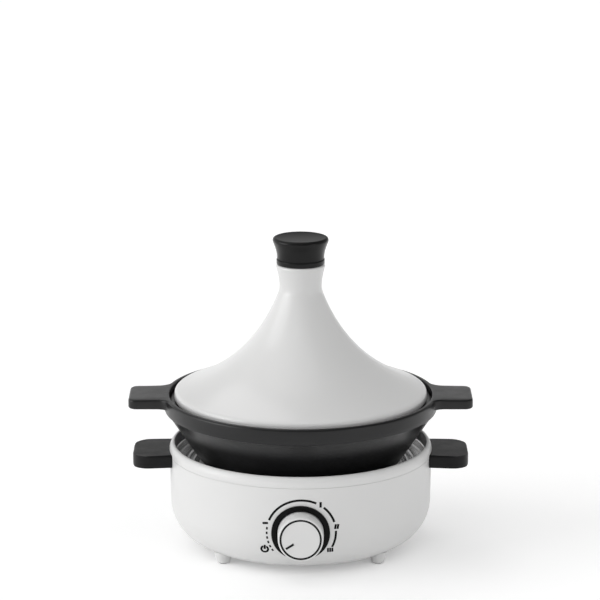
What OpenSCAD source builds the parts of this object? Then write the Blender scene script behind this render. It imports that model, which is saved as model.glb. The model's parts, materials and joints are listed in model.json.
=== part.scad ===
// Electric tagine: a heated base with a dial, a cast pot, a grill pan, a conical lid and a stopper.
// Millimetres. Z is up from the table, the dial faces -Y and the handles reach along X.

/* [Base] */
// Outer diameter of the base at its rim
body_d = 295; // [280:1:320]
// Height of the rim above the table
base_h = 118; // [112:1:130]
// Gap between the table and the underside of the housing
ground_gap = 5.5; // [4.5:0.1:8]
// Radius of the round edge under the housing
belly_r = 46; // [38:1:50]
// How far the wall leans in from the seam down to the round edge
wall_lean = 1; // [0:0.5:4]
// Wall of the moulded base parts
wall = 2.6; // [2:0.1:3.2]
// Height of the rim collar above its seam
collar_h = 12.2; // [10:0.1:15]
// Width of the rounded rim
rim_w = 6.2; // [5.5:0.1:9]
// How far the collar reaches into the housing below the seam
skirt_over = 1.3; // [0.8:0.1:3]

/* [Cooking well] */
// Thickness of the pressed steel parts
sheet_t = 0.8; // [0.5:0.1:1.2]
// Depth of the liner's shelf under the rim
shelf_drop = 24; // [22:0.5:25]
// Diameter of the heating plate
plate_d = 189; // [170:1:200]
// Thickness of the heating plate
plate_t = 9; // [8:0.5:12]
// Depth of the plate's top under the rim
plate_drop = 28.7; // [27:0.1:31]
// Gap round the plate
plate_gap = 2; // [1.2:0.1:4]
// Height of the liner's raised bead
bead_h = 2.4; // [1:0.1:3]
// Depth of the heat shield's tray under the plate
shield_drop = 10; // [8:0.5:14]
// Diameter of the heating element's ring
element_ring_d = 140; // [120:1:150]
// Diameter of the element's tube
element_d = 7; // [6:0.1:8]
// Diameter of the circle of the plate's studs
stud_circle_d = 84; // [70:1:100]
// Diameter of a stud
stud_d = 5; // [4:0.1:6]

/* [Base handles] */
// How far a handle stands out from the body
grip_l = 40.5; // [30:0.5:55]
// Width of a handle
grip_w = 70; // [60:1:90]
// Thickness of a handle
grip_t = 17; // [16:0.5:22]
// Depth of a handle's top under the rim
grip_drop = 8.5; // [8:0.1:12]
// Radius of a handle's outer corners
grip_corner = 20; // [10:1:28]
// Radius of a handle's long edges
grip_edge = 2.5; // [1.5:0.5:5]
// Distance between a handle's screws
grip_screw_pitch = 26; // [20:1:30]

/* [Dial] */
// Height of the dial's axis above the table
dial_z = 55; // [50:0.5:58]
// Diameter of the bezel
bezel_d = 63.8; // [60:0.2:70]
// How far the bezel stands proud of the body
bezel_proud = 2; // [1.5:0.1:3]
// Width of the bezel's visible ring
bezel_w = 5.6; // [4:0.1:7]
// Depth of the knob's recess in the bezel
bezel_sink = 9; // [7:0.5:11]
// How far the knob stands out of the bezel
knob_h = 18; // [14:0.2:24]
// How much smaller the knob's front is, in diameter
knob_taper = 1; // [0:0.2:4]
// Gap round the knob in its recess
knob_gap = 1.2; // [0.6:0.1:1.6]
// Outer diameter of the ring set into the knob's face
mark_ring_d = 45.2; // [40:0.2:46]
// Width of that ring
mark_ring_w = 1.8; // [1:0.1:3]
// Length of the pointer
pointer_l = 9.4; // [6:0.2:12]
// Angle of the pointer when off, clockwise from the top
pointer_off = 237; // [200:1:260]
// Diameter of the thermostat's shaft
shaft_d = 6; // [5:0.1:7]

/* [Feet and bottom] */
// Distance of a foot's centre from the side of the body
foot_inset = 30.5; // [28:0.5:40]
// Angle of the feet from the side
foot_angle = 43; // [35:1:55]
// Diameter of a foot at the housing
foot_d = 21.6; // [17:0.2:25]
// Diameter of a foot's rubber pad
pad_d = 11; // [8:0.2:13]
// How far the cover stays inside the flat of the underside
cover_inset = 7; // [5:0.5:12]
// Thickness of the bottom cover
cover_t = 2.4; // [2:0.1:3]
// Number of vent slots in the bottom cover
vent_n = 7; // [3:1:9]
// Height of the inlet's centre above the table
inlet_z = 50; // [46:0.5:56]

/* [Pot] */
// Outer diameter of the pot's rim
pot_d = 305.4; // [296:0.2:320]
// Height of the pot
pot_h = 84; // [80:1:96]
// Height of the upright band under the rim
band_h = 17.5; // [14:0.5:22]
// How far the band stands out from the cone
band_step = 2.4; // [1:0.1:4]
// Lean of the cone from upright
cone_lean = 33.3; // [28:0.1:36]
// Radius between the cone and the bottom
pot_round = 32; // [24:1:38]
// Wall of the cone
pot_wall = 4.5; // [3.5:0.1:6]
// Thickness of the pot's bottom
pot_floor = 5; // [4:0.1:7]
// Width of the rim round the recess
lip_w = 5.3; // [4:0.1:7]
// Depth of the ledge that carries the pan
ledge_drop = 10; // [8:0.2:12]
// Width of that ledge
ledge_w = 5.8; // [5:0.1:7]
// How far a pot handle stands out from the rim
ear_l = 39.4; // [30:0.2:50]
// Width of a pot handle
ear_w = 62; // [50:1:75]
// Thickness of a pot handle
ear_t = 12; // [9:0.5:14]
// Radius of a pot handle's corners
ear_corner = 9; // [5:0.5:12]
// Radius of the blend between a pot handle and the rim
ear_fillet = 14; // [8:1:20]

/* [Grill pan] */
// Gap round the pan's flange in the pot
pan_gap = 1.6; // [0.8:0.1:2.4]
// Width of the flange
flange_w = 12.4; // [11.5:0.1:13.5]
// Thickness of the flange
flange_t = 3.5; // [3:0.1:4.5]
// Depth of the step inside the flange
step_drop = 5.5; // [4:0.1:6]
// Width of that step
step_w = 7.8; // [6:0.1:10]
// Wall of the pan
pan_wall = 3; // [2.5:0.1:3.5]
// Height of the pan from its flange's top to its foot
pan_h = 46; // [40:0.5:50]
// Radius of the pan's lower edge
pan_round = 16; // [12:0.5:18]
// Depth of the pan's floor under its flange
pan_floor_drop = 37; // [33:0.5:38]
// Height of the foot ring under the pan
pan_foot_h = 3.5; // [2:0.1:4]
// Number of ribs on the floor
rib_n = 6; // [4:1:8]
// Distance from rib to rib
rib_pitch = 27; // [18:0.5:29]
// Width of a rib at its foot
rib_w = 6; // [4:0.2:8]
// Height of a rib
rib_h = 3; // [2:0.2:5]
// Diameter of the ribbed area
rib_zone_d = 160; // [140:1:170]

/* [Lid] */
// How far the lid's edge lies inside the flange's edge
lid_inset = 4.3; // [3:0.1:6]
// Height of the lid
lid_h = 153.8; // [140:0.2:175]
// Height of the upright edge band
lid_band = 7.4; // [5:0.1:10]
// Wall of the lid
lid_wall = 5; // [4:0.1:6]
// Height of the locating lip under the edge
lid_lip = 1.8; // [1:0.1:3]
// Diameter at the top of the neck
neck_d = 54.6; // [50:0.2:60]
// Diameter where the cone meets the neck
waist_d = 50; // [46:0.2:54]
// Height of the neck above the cone
neck_h = 32.8; // [28:0.2:40]

/* [Stopper] */
// Largest diameter of the stopper
cap_d = 62; // [58:0.2:70]
// Height of the stopper
cap_h = 30; // [24:0.2:36]
// Diameter of the stopper's waist
cap_waist_d = 52.4; // [48:0.2:56]
// Diameter of the collar at the stopper's foot
cap_foot_d = 53.6; // [50:0.2:57]
// Height of that collar
cap_foot_h = 5.4; // [4:0.1:8]
// Wall of the stopper
cap_wall = 3; // [2:0.1:4]

/* [Clearances] */
// Gap between pieces that are fixed together
fit = 0.1; // [0.05:0.01:0.2]
// Gap under a piece that lifts off
rest_gap = 0.3; // [0.1:0.05:0.5]
// Radial clearance of the turning shaft
run_gap = 0.06; // [0.02:0.01:0.09]

/* [Hidden] */
$fn = 96;

// Base levels and radii
body_r = body_d / 2;
well_r = body_r - rim_w;
seam_z = base_h - collar_h;
bulge = 0.2;
seam_r = body_r - bulge;
belly_z = ground_gap + belly_r;
low_r = seam_r - wall_lean;
flat_r = low_r - belly_r;
skirt_z = seam_z - skirt_over;
ledge_t = 2.2;
liner_flange_z = skirt_z - fit - sheet_t / 2;
housing_ledge_z = skirt_z - 2 * fit - sheet_t;
liner_r = well_r - fit - sheet_t / 2;
shelf_z = base_h - shelf_drop;
plate_r = plate_d / 2;
plate_top = base_h - plate_drop;
plate_bottom = plate_top - plate_t;
ring_sink = 1.2;
ring_z = plate_top - ring_sink;
ring_in = plate_r + plate_gap + sheet_t / 2;
shield_margin = 4;
shield_r = ring_in + shield_margin;
shield_flange_w = 10;
shield_flange_z = ring_z - sheet_t - fit;
shield_z = plate_bottom - shield_drop - sheet_t / 2;
stud_angles = [90, 210, 330];
stud_hole_depth = 5;
stud_tip = 1;
stud_nut_h = 0.8 * stud_d;
stud_nut_z = shield_z - sheet_t / 2 - fit - stud_nut_h;
stud_end_z = stud_nut_z - stud_tip;
spacer_wall = 3.5;
element_gap_angle = 36;
leg_turn = element_gap_angle / 2 + 4;
leg_angles = [90 - leg_turn, 90 + leg_turn];
leg_d = 5.6;
leg_drop = 8;
leg_bottom = shield_z - leg_drop;
cover_r = flat_r - cover_inset;
cover_lip_w = 10;
lip_top = ground_gap + cover_t + fit + wall;
cover_top = ground_gap + cover_t;
screw_d = 3;
screw_head_d = 6;
cover_screw_r = cover_r - cover_lip_w / 2;
cover_boss_h = 8;
cover_boss_d = 8;
peg_d = 6;
peg_tip = 3;
foot_r = body_r - foot_inset;
foot_seat_z = belly_z - sqrt(belly_r^2 - (foot_r - flat_r)^2);
foot_wall = 1.5;
foot_over = 4;
pad_t = 2;
pad_sink = 1;
post_h = 6;
post_d = 6;
post_inset = 4;
fuse_d = 6;
fuse_l = 20;
fuse_z = plate_bottom - fit - fuse_d / 2;
grip_top = base_h - grip_drop;
grip_root = 10;
grip_tilt = 2;
grip_screw_d = 4;
grip_screw_bite = 13;
grip_head_d = 6;
grip_head_h = 1.6;
grip_head_room = 0.5;
grip_screw_z = housing_ledge_z - ledge_t - grip_head_room - grip_head_d / 2;

// Dial line, measured towards the front
bezel_front = body_r + bezel_proud;
bezel_floor = bezel_front - bezel_sink;
bezel_floor_t = 3;
spigot_l = 5;
bezel_back = bezel_floor - bezel_floor_t - spigot_l;
bezel_r = bezel_d / 2;
recess_r = bezel_r - bezel_w;
bezel_over = 3.4;
spigot_r = bezel_r - bezel_over;
knob_r = recess_r - knob_gap;
knob_front = bezel_front + knob_h;
knob_lift = 1.5;
knob_back = bezel_floor + knob_lift;
knob_skin = 2.4;
shaft_short = 3;
shaft_front = knob_front - knob_skin - shaft_short;
shaft_bite = 12;
hub_wall = 3.5;
hub_d = shaft_d + 2 * hub_wall;
inlay_t = 0.6;
pointer_w = 1.8;
pointer_r = 18.6;
bracket_t = 1.5;
bracket_h = 40;
bracket_inset = 0.5;
bush_wall = 2;
bush_d = shaft_d + 2 * bush_wall;
bush_l = 6;
nut_t = 3.4;
nut_d = 16;
thermostat_size = [34, 26, 30];
thermostat_front = bezel_back - fit - bracket_t - fit;
flat_cut = 0.75;
tab_size = [5, 6, 0.8];
tab_sink = 0.5;
tab_x = 9;

// Inlet and wiring
inlet_w = 31;
inlet_h = 24;
inlet_corner = 5;
inlet_flange = 3;
inlet_proud = 1.6;
inlet_l = 26;
inlet_seat = 12;
inlet_wall = 3;
plate_border = 9;
plate_lip = 3;
plate_lip_t = 2;
inlet_back = body_r - inlet_l;
pin_size = [2, 14, 4];
pin_tail = 6;
pin_gap = 7;
pin_low = 1.5;
pin_high = 2.5;
pin_places = [[-pin_gap, -pin_low], [0, pin_high], [pin_gap, -pin_low]];
block_size = [36, 20, 15];
block_inset = 31;
block_y = cover_r - block_inset;
terminal_pitch = 11;
terminal_h = 8;
terminal_z = cover_top + post_h + terminal_h;
wire_seat = 4;
wire_hole = 0.3;
wire_d = 2.6;
wire_sides = 8;
wire_rings = 10;
supply_lean = [16, 26];
control_lean = 60;
element_lean = [24, 20];
earth_lean = [30, 16];

// Stack of cookware
pot_r = pot_d / 2;
pot_z = plate_top + rest_gap;
recess_pot_r = pot_r - lip_w;
ledge_z = pot_h - ledge_drop;
cone_top_r = pot_r - band_step;
cone_k = tan(cone_lean);
cone_foot_r = cone_top_r - cone_k * (pot_h - band_h);
pan_z = pot_z + ledge_z + rest_gap + flange_t - pan_h;
flange_r = recess_pot_r - pan_gap;
flange_in_r = flange_r - flange_w;
pan_in_r = flange_in_r - step_w;
pan_out_r = pan_in_r + pan_wall;
pan_floor_z = pan_h - pan_floor_drop;
lid_r = flange_r - lid_inset;
lid_z = pan_z + pan_h + rest_gap;
cap_z = lid_z + lid_h + rest_gap;
crown_r = 2.4;
bore_r = neck_d / 2 - 2 * crown_r;
shoulder_in = 4.5;
shoulder_up = 4.2;
lip_gap = 0.8;
lip_t = 5;
lip_edge = 0.6;
neck_foot = 27;
neck_foot_z = lid_h - neck_h - neck_foot;

// Points on a cubic curve
function curve(a, b, c, d, n = 12) =
    [for (i = [0:n]) let (t = i / n, u = 1 - t) u^3 * a + 3 * u^2 * t * b + 3 * u * t^2 * c + t^3 * d];

// Points on an arc about a centre
function arc(centre, r, from, to, n = 8) =
    [for (i = [0:n]) let (a = from + (to - from) * i / n) centre + r * [cos(a), sin(a)]];

// A point of a path, moved sideways by a distance
function beside(path, i, d) =
    let (v = path[min(i + 1, len(path) - 1)] - path[max(i - 1, 0)])
    path[i] + d * [-v.y, v.x] / norm(v);

// A whole path, moved sideways
function shifted(path, d) = [for (i = [0:len(path) - 1]) beside(path, i, d)];

function reversed(path) = [for (i = [len(path) - 1:-1:0]) path[i]];

// The outline of a sheet that follows a path
function sheet(path, t) = concat(shifted(path, t / 2), reversed(shifted(path, -t / 2)));

module turned(points) {
    rotate_extrude() polygon(points);
}

module round_rect(w, h, r) {
    square([w - 2 * r, h], center = true);
    square([w, h - 2 * r], center = true);
    for (x = [-1, 1], y = [-1, 1])
        translate([x * (w / 2 - r), y * (h / 2 - r)])
            circle(r);
}

module slot(l, w) {
    square([l - w, w], center = true);
    for (x = [-1, 1])
        translate([x * (l - w) / 2, 0])
            circle(d = w);
}

// Extrudes a front view outwards along -Y, from one depth to another
module frontwards(from, to) {
    translate([0, -from, 0])
        rotate([90, 0, 0])
            linear_extrude(to - from)
                children();
}

// Extrudes a rear view inwards or outwards along +Y
module backwards(from, to) {
    translate([0, to, 0])
        rotate([90, 0, 0])
            linear_extrude(to - from)
                children();
}

// A round wire between two ends, with the way it leaves each end and a direction it never takes
module wire(a, lean_a, b, lean_b, across) {
    path = curve(a, a + lean_a, b + lean_b, b, wire_rings);
    last = len(path) - 1;
    rings = [for (i = [0:last]) ring_at(path, i, across)];
    sides = [for (i = [0:last - 1], k = [0:wire_sides - 1])
        let (p = i * wire_sides, m = (k + 1) % wire_sides)
        each [[p + k, p + wire_sides + k, p + m], [p + m, p + wire_sides + k, p + wire_sides + m]]];
    first_cap = [for (k = [0:wire_sides - 1]) k];
    last_cap = [for (k = [wire_sides - 1:-1:0]) last * wire_sides + k];
    polyhedron([for (r = rings) each r], concat([first_cap], sides, [last_cap]));
}

// One ring of points round a wire
function ring_at(path, i, across) =
    let (
        v = path[min(i + 1, len(path) - 1)] - path[max(i - 1, 0)],
        n = v / norm(v),
        w = cross(n, across),
        s = w / norm(w),
        u = cross(s, n)
    )
    [for (k = [0:wire_sides - 1])
        let (a = 360 * k / wire_sides) path[i] + wire_d / 2 * (cos(a) * s + sin(a) * u)];

// Half section of the housing, drawn in from its outer face
module body_section(inset) {
    intersection() {
        translate([flat_r, belly_z])
            circle(belly_r - inset);
        square([body_d, belly_z + wall]);
    }
    translate([0, ground_gap + inset])
        square([flat_r, belly_r - inset]);
    polygon([[0, belly_z], [low_r - inset, belly_z], [seam_r - inset, seam_z], [0, seam_z]]);
}

module body_solid(inset) {
    rotate_extrude() intersection() {
        body_section(inset);
        square([2 * body_d, 2 * base_h]);
    }
}

module at_feet() {
    for (x = [-1, 1], y = [-1, 1])
        translate([x * foot_r * cos(foot_angle), y * foot_r * sin(foot_angle), 0])
            children();
}

module at_cover_screws() {
    for (a = [0:90:270])
        rotate(a)
            translate([cover_screw_r, 0, 0])
                children();
}

module at_grip_screws() {
    for (side = [0, 180], y = [-1, 1])
        rotate(side)
            translate([0, y * grip_screw_pitch / 2, grip_screw_z])
                rotate([0, 90, 0])
                    children();
}

module at_studs() {
    for (a = stud_angles)
        rotate(a)
            translate([stud_circle_d / 2, 0, 0])
                children();
}

module at_legs() {
    for (a = leg_angles)
        rotate(a)
            translate([element_ring_d / 2, 0, 0])
                children();
}

// Drum of the base, open at the top and the bottom
module housing() {
    color("whitesmoke") difference() {
        union() {
            rotate_extrude() difference() {
                intersection() {
                    body_section(0);
                    square([2 * body_d, 2 * base_h]);
                }
                difference() {
                    body_section(wall);
                    square([flat_r + wall, lip_top]);
                }
                square([cover_r + fit, cover_top + fit]);
                square([cover_r - cover_lip_w, lip_top + fit]);
                translate([0, seam_z - wall])
                    square([seam_r - wall - wall_lean * wall / (seam_z - belly_z), 2 * wall]);
            }
            rotate_extrude()
                translate([well_r + fit, housing_ledge_z - ledge_t])
                    square([seam_r - wall / 2 - well_r, ledge_t]);
            at_cover_screws()
                translate([0, 0, lip_top - wall])
                    cylinder(d = cover_boss_d, h = wall + cover_boss_h);
        }
        frontwards(0, body_d)
            translate([0, dial_z])
                circle(spigot_r + fit);
        backwards(0, body_d)
            plate_outline(fit);
        at_grip_screws()
            translate([0, 0, flat_r])
                cylinder(d = grip_screw_d + 2 * fit, h = body_r);
        at_feet()
            cylinder(d = peg_d + 2 * fit, h = belly_z);
        at_cover_screws()
            cylinder(d = screw_d + 2 * fit, h = lip_top + cover_boss_h + wall);
    }
}

// Rounded rim that clamps the liner
module rim_collar() {
    edge = 0.8;
    draft = 0.2;
    crown_z = base_h - 0.7 * collar_h;
    outer = curve([well_r + edge, base_h], [well_r + 0.6 * rim_w, base_h],
                  [body_r, base_h - 0.3 * collar_h], [body_r, crown_z], 10);
    spigot = seam_r - wall - fit;
    channel_top = base_h - 1.6 * wall;
    color("white") turned(concat(
        [[well_r, skirt_z], [well_r, base_h - edge]],
        outer,
        [[seam_r, seam_z + fit], [spigot, seam_z + fit], [spigot - draft, channel_top - wall]],
        [[well_r + wall, channel_top], [well_r + wall, skirt_z]]
    ));
}

// Pressed ring between the collar and the plate
module well_liner() {
    bend = 4;
    fold = 0.6;
    bead_w = 3.4;
    bead_r = liner_r - 13;
    slope_r = bead_r - 2 * bead_w;
    slope_w = 7;
    corner = 1.5;
    hem = 6;
    path = concat(
        [[well_r + wall - fit, liner_flange_z], [liner_r + fold, liner_flange_z]],
        [[liner_r, liner_flange_z - fold]],
        arc([liner_r - bend, shelf_z + bend], bend, 0, -90, 5),
        curve([bead_r + bead_w, shelf_z], [bead_r + 0.5 * bead_w, shelf_z + 1.3 * bead_h],
              [bead_r - 0.5 * bead_w, shelf_z + 1.3 * bead_h], [bead_r - bead_w, shelf_z], 8),
        curve([slope_r, shelf_z], [slope_r - slope_w / 2, shelf_z],
              [slope_r - slope_w / 2, ring_z], [slope_r - slope_w, ring_z], 6),
        [[ring_in + corner, ring_z], [ring_in, ring_z - corner], [ring_in, ring_z - hem]]
    );
    color("silver") turned(sheet(path, sheet_t));
}

// Turned plate with a groove for the element and three tapped bosses
module heating_plate() {
    edge = 1.2;
    chamfer = 3;
    color("lightgray") difference() {
        turned([[0, plate_bottom], [plate_r - chamfer, plate_bottom], [plate_r, plate_bottom + chamfer],
                [plate_r, plate_top - edge], [plate_r - edge, plate_top], [0, plate_top]]);
        rotate_extrude()
            translate([element_ring_d / 2, plate_bottom])
                circle(d = element_d + 2 * fit);
        at_studs()
            translate([0, 0, plate_bottom - 1])
                cylinder(d = stud_d + 2 * fit, h = stud_hole_depth + 1 + fit);
    }
}

// Ring-shaped tube with two legs through the shield
module heating_element() {
    color("dimgray") {
        rotate(90 + element_gap_angle / 2)
            rotate_extrude(angle = 360 - element_gap_angle)
                translate([element_ring_d / 2, plate_bottom])
                    circle(d = element_d);
        at_legs()
            translate([0, 0, leg_bottom])
                cylinder(d = leg_d, h = plate_bottom - leg_bottom);
    }
}

// Tray under the plate, hung from the liner's ring
module heat_shield() {
    bend = 5;
    fold = 1;
    hole_r = 16;
    leg_room = 1;
    path = concat(
        [[shield_r + shield_flange_w, shield_flange_z], [shield_r + fold, shield_flange_z]],
        [[shield_r, shield_flange_z - fold]],
        arc([shield_r - bend, shield_z + bend], bend, 0, -90, 5),
        [[hole_r, shield_z]]
    );
    color("gainsboro") difference() {
        turned(sheet(path, sheet_t));
        at_studs()
            translate([0, 0, shield_z - sheet_t])
                cylinder(d = stud_d + 2 * fit, h = 2 * sheet_t);
        at_legs()
            translate([0, 0, shield_z - sheet_t])
                cylinder(d = leg_d + 2 * leg_room, h = 2 * sheet_t);
    }
}

module plate_spacers() {
    color("ivory") at_studs()
        translate([0, 0, shield_z + sheet_t / 2 + fit])
            difference() {
                h = plate_bottom - shield_z - sheet_t / 2 - 2 * fit;
                cylinder(d = stud_d + 2 * spacer_wall, h = h);
                translate([0, 0, -1])
                    cylinder(d = stud_d + 2 * fit, h = h + 2);
            }
}

// Studs with their nuts
module plate_bolts() {
    color("silver") at_studs() {
        translate([0, 0, stud_end_z])
            cylinder(d = stud_d, h = plate_bottom + stud_hole_depth - stud_end_z);
        translate([0, 0, stud_nut_z])
            cylinder(d = 1.9 * stud_d, h = stud_nut_h, $fn = 6);
    }
}

// Cut-out held flat against the plate
module thermal_fuse() {
    color("tan") translate([-fuse_l / 2, 0, fuse_z])
        rotate([0, 90, 0])
            cylinder(d = fuse_d, h = fuse_l);
}

module fuse_clip() {
    clip_l = 9;
    tab_w = 7;
    inner = fuse_d / 2 + fit;
    outer = inner + sheet_t;
    color("silver") rotate(90)
        frontwards(-clip_l / 2, clip_l / 2)
            translate([0, fuse_z])
                clip_outline(inner, outer, tab_w);
}

// Half ring with two flat tabs, seen along the fuse
module clip_outline(inner, outer, tab_w) {
    top = fuse_d / 2;
    difference() {
        union() {
            circle(outer);
            translate([-outer, 0])
                square([2 * outer, top]);
        }
        circle(inner);
        translate([-inner, 0])
            square([2 * inner, 2 * outer]);
        translate([-2 * outer, top])
            square([4 * outer, outer]);
    }
    for (x = [-1, 1])
        translate([x * (inner + tab_w / 2), top - sheet_t / 2])
            square([tab_w, sheet_t], center = true);
}

module bottom_cover() {
    vent_w = 4;
    vent_l = 46;
    vent_pitch = 9;
    vent_y = -20;
    color("whitesmoke") {
        difference() {
            translate([0, 0, ground_gap])
                cylinder(r = cover_r, h = cover_t);
            for (i = [0:vent_n - 1])
                translate([0, vent_y + (i - (vent_n - 1) / 2) * vent_pitch, ground_gap - 1])
                    linear_extrude(cover_t + 2)
                        slot(vent_l, vent_w);
            at_cover_screws()
                cylinder(d = screw_d + 2 * fit, h = base_h);
            at_cover_screws()
                translate([0, 0, ground_gap - 1])
                    cylinder(d = screw_head_d + 2 * fit, h = cover_t / 2 + 1);
        }
        block_posts();
    }
}

// Posts that carry the terminal block
module block_posts() {
    for (x = [-1, 1])
        translate([x * (block_size.x / 2 - post_inset), block_y, cover_top])
            cylinder(d = post_d, h = post_h - fit);
}

module cover_screws() {
    color("gray") at_cover_screws() {
        translate([0, 0, ground_gap + fit])
            cylinder(d = screw_head_d, h = cover_t / 2 - 2 * fit);
        translate([0, 0, ground_gap + fit])
            cylinder(d = screw_d, h = cover_t + wall + cover_boss_h - 1);
    }
}

// Tapered feet shaped to the round edge, each with a peg through the housing
module feet() {
    peg_top = foot_seat_z + wall + peg_tip;
    peg_foot = foot_seat_z / 2 + pad_t / 2;
    color("white") {
        difference() {
            at_feet()
                translate([0, 0, pad_t - pad_sink])
                    cylinder(d1 = pad_d + 2 * foot_wall, d2 = foot_d, h = foot_seat_z + foot_over);
            at_feet()
                translate([0, 0, -pad_t])
                    cylinder(d = pad_d + 2 * fit, h = 2 * pad_t + fit);
            body_solid(-fit);
        }
        at_feet()
            translate([0, 0, peg_foot])
                cylinder(d = peg_d, h = peg_top - peg_foot);
    }
}

module foot_pads() {
    color("dimgray") at_feet()
        cylinder(d = pad_d, h = pad_t);
}

// Side handle with rounded edges, seated on the body
module grip() {
    reach = body_r + grip_l;
    root = body_r - grip_root;
    difference() {
        intersection() {
            translate([0, 0, seam_z - 2 * grip_t])
                linear_extrude(4 * grip_t)
                    grip_plan(root, reach);
            translate([root, 0, grip_top - grip_t / 2])
                rotate([90, 0, 90])
                    linear_extrude(reach)
                        round_rect(grip_w, grip_t, grip_edge);
            translate([reach, grip_w, grip_top - grip_t / 2])
                rotate([90, grip_tilt, 0])
                    linear_extrude(2 * grip_w)
                        translate([-grip_l, 0])
                            round_rect(2 * grip_l, grip_t - 2 * grip_l * sin(grip_tilt), grip_edge);
        }
        cylinder(r = body_r + fit, h = 2 * base_h);
        for (y = [-1, 1])
            translate([root, y * grip_screw_pitch / 2, grip_screw_z])
                rotate([0, 90, 0])
                    cylinder(d = grip_screw_d + 2 * fit, h = grip_root + grip_screw_bite + fit);
    }
}

module grip_plan(root, reach) {
    translate([root, -grip_w / 2])
        square([reach - grip_corner - root, grip_w]);
    translate([root, grip_corner - grip_w / 2])
        square([reach - root, grip_w - 2 * grip_corner]);
    for (y = [-1, 1])
        translate([reach - grip_corner, y * (grip_w / 2 - grip_corner)])
            circle(grip_corner);
}

module handle_right() {
    color("black") grip();
}

module handle_left() {
    color("black") mirror([1, 0, 0]) grip();
}

module handle_screws() {
    low_z = grip_screw_z - grip_head_d / 2;
    inner_r = seam_r - wall - wall_lean * (seam_z - low_z) / (seam_z - belly_z);
    seat = sqrt(inner_r^2 - (grip_screw_pitch / 2 + grip_head_d / 2)^2) - fit;
    color("gray") at_grip_screws()
        translate([0, 0, seat - grip_head_h]) {
            cylinder(d = grip_head_d, h = grip_head_h);
            cylinder(d = grip_screw_d, h = body_r - seat + grip_head_h + grip_screw_bite);
        }
}

// Ring that follows the wall, with a cup for the knob and a spigot for the thermostat
module dial_bezel() {
    color("black") difference() {
        union() {
            intersection() {
                difference() {
                    body_solid(-bezel_proud);
                    body_solid(-fit);
                }
                frontwards(0, body_d)
                    translate([0, dial_z])
                        circle(bezel_r);
            }
            intersection() {
                body_solid(-bezel_proud);
                frontwards(bezel_back, body_d)
                    translate([0, dial_z])
                        circle(spigot_r);
            }
        }
        frontwards(bezel_floor, body_d)
            translate([0, dial_z])
                circle(recess_r);
        frontwards(0, bezel_floor - bezel_floor_t)
            translate([0, dial_z])
                circle(spigot_r - wall);
        frontwards(0, body_d)
            translate([0, dial_z])
                circle(bush_d);
    }
}

// Plate on the bezel's back
module thermostat_bracket() {
    color("silver") difference() {
        frontwards(thermostat_front + fit, thermostat_front + fit + bracket_t)
            translate([0, dial_z])
                intersection() {
                    circle(spigot_r - bracket_inset);
                    square([2 * spigot_r, bracket_h], center = true);
                }
        frontwards(0, body_d)
            translate([0, dial_z])
                circle(d = bush_d + 2 * fit);
    }
}

// Switch block with its threaded bush
module thermostat_body() {
    back = thermostat_front - thermostat_size.y;
    color("saddlebrown") difference() {
        union() {
            translate([-thermostat_size.x / 2, -thermostat_front, dial_z - thermostat_size.z / 2])
                cube(thermostat_size);
            frontwards(thermostat_front, thermostat_front + bush_l)
                translate([0, dial_z])
                    circle(d = bush_d);
            for (x = [-1, 1])
                translate([x * tab_x - tab_size.x / 2, -back - tab_sink, dial_z - tab_size.z / 2])
                    cube(tab_size);
        }
        frontwards(thermostat_front - shaft_bite, body_d)
            translate([0, dial_z])
                circle(d = shaft_d + 2 * run_gap);
    }
}

module thermostat_nut() {
    nut_back = bezel_back + fit;
    color("silver") difference() {
        frontwards(nut_back, nut_back + nut_t)
            translate([0, dial_z])
                circle(d = nut_d, $fn = 6);
        frontwards(0, body_d)
            translate([0, dial_z])
                circle(d = bush_d + 2 * fit);
    }
}

// Turning shaft with a flat for the knob
module thermostat_shaft() {
    end_gap = 0.5;
    color("silver") difference() {
        frontwards(thermostat_front - shaft_bite + end_gap, shaft_front)
            translate([0, dial_z])
                circle(d = shaft_d);
        frontwards(bezel_floor, body_d)
            translate([-shaft_d, dial_z + shaft_d / 2 - flat_cut])
                square([2 * shaft_d, shaft_d]);
    }
}

// Knob, hollow at the back round a hub for the shaft
module dial_knob() {
    edge = 1.6;
    front_r = knob_r - knob_taper / 2;
    inside = knob_r - knob_skin;
    roof = knob_front - knob_skin;
    hub_r = hub_d / 2;
    color("white") difference() {
        translate([0, 0, dial_z])
            rotate([90, 0, 0])
                turned(concat(
                    [[0, knob_back], [hub_r, knob_back], [hub_r, roof], [inside - knob_taper / 2, roof]],
                    [[inside, knob_back], [knob_r, knob_back], [knob_r, bezel_front]],
                    arc([front_r - edge, knob_front - edge], edge, 0, 90, 5),
                    [[0, knob_front]]
                ));
        difference() {
            frontwards(0, shaft_front + fit)
                translate([0, dial_z])
                    circle(d = shaft_d + 2 * fit);
            frontwards(0, body_d)
                translate([-shaft_d, dial_z + shaft_d / 2 - flat_cut + fit])
                    square([2 * shaft_d, shaft_d]);
        }
        frontwards(knob_front - inlay_t - fit, knob_front + 1)
            translate([0, dial_z])
                ring_outline(fit);
        frontwards(knob_front - inlay_t - fit, knob_front + 1)
            translate([0, dial_z])
                pointer_outline(fit);
    }
}

module ring_outline(margin) {
    difference() {
        circle(d = mark_ring_d + 2 * margin);
        circle(d = mark_ring_d - 2 * mark_ring_w - 2 * margin);
    }
}

module pointer_outline(margin) {
    rotate(-pointer_off)
        translate([-pointer_w / 2 - margin, pointer_r - pointer_l - margin])
            square([pointer_w + 2 * margin, pointer_l + 2 * margin]);
}

module dial_ring() {
    color("black") frontwards(knob_front - inlay_t, knob_front)
        translate([0, dial_z])
            ring_outline(0);
}

module dial_pointer() {
    color("black") frontwards(knob_front - inlay_t, knob_front)
        translate([0, dial_z])
            pointer_outline(0);
}

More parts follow.
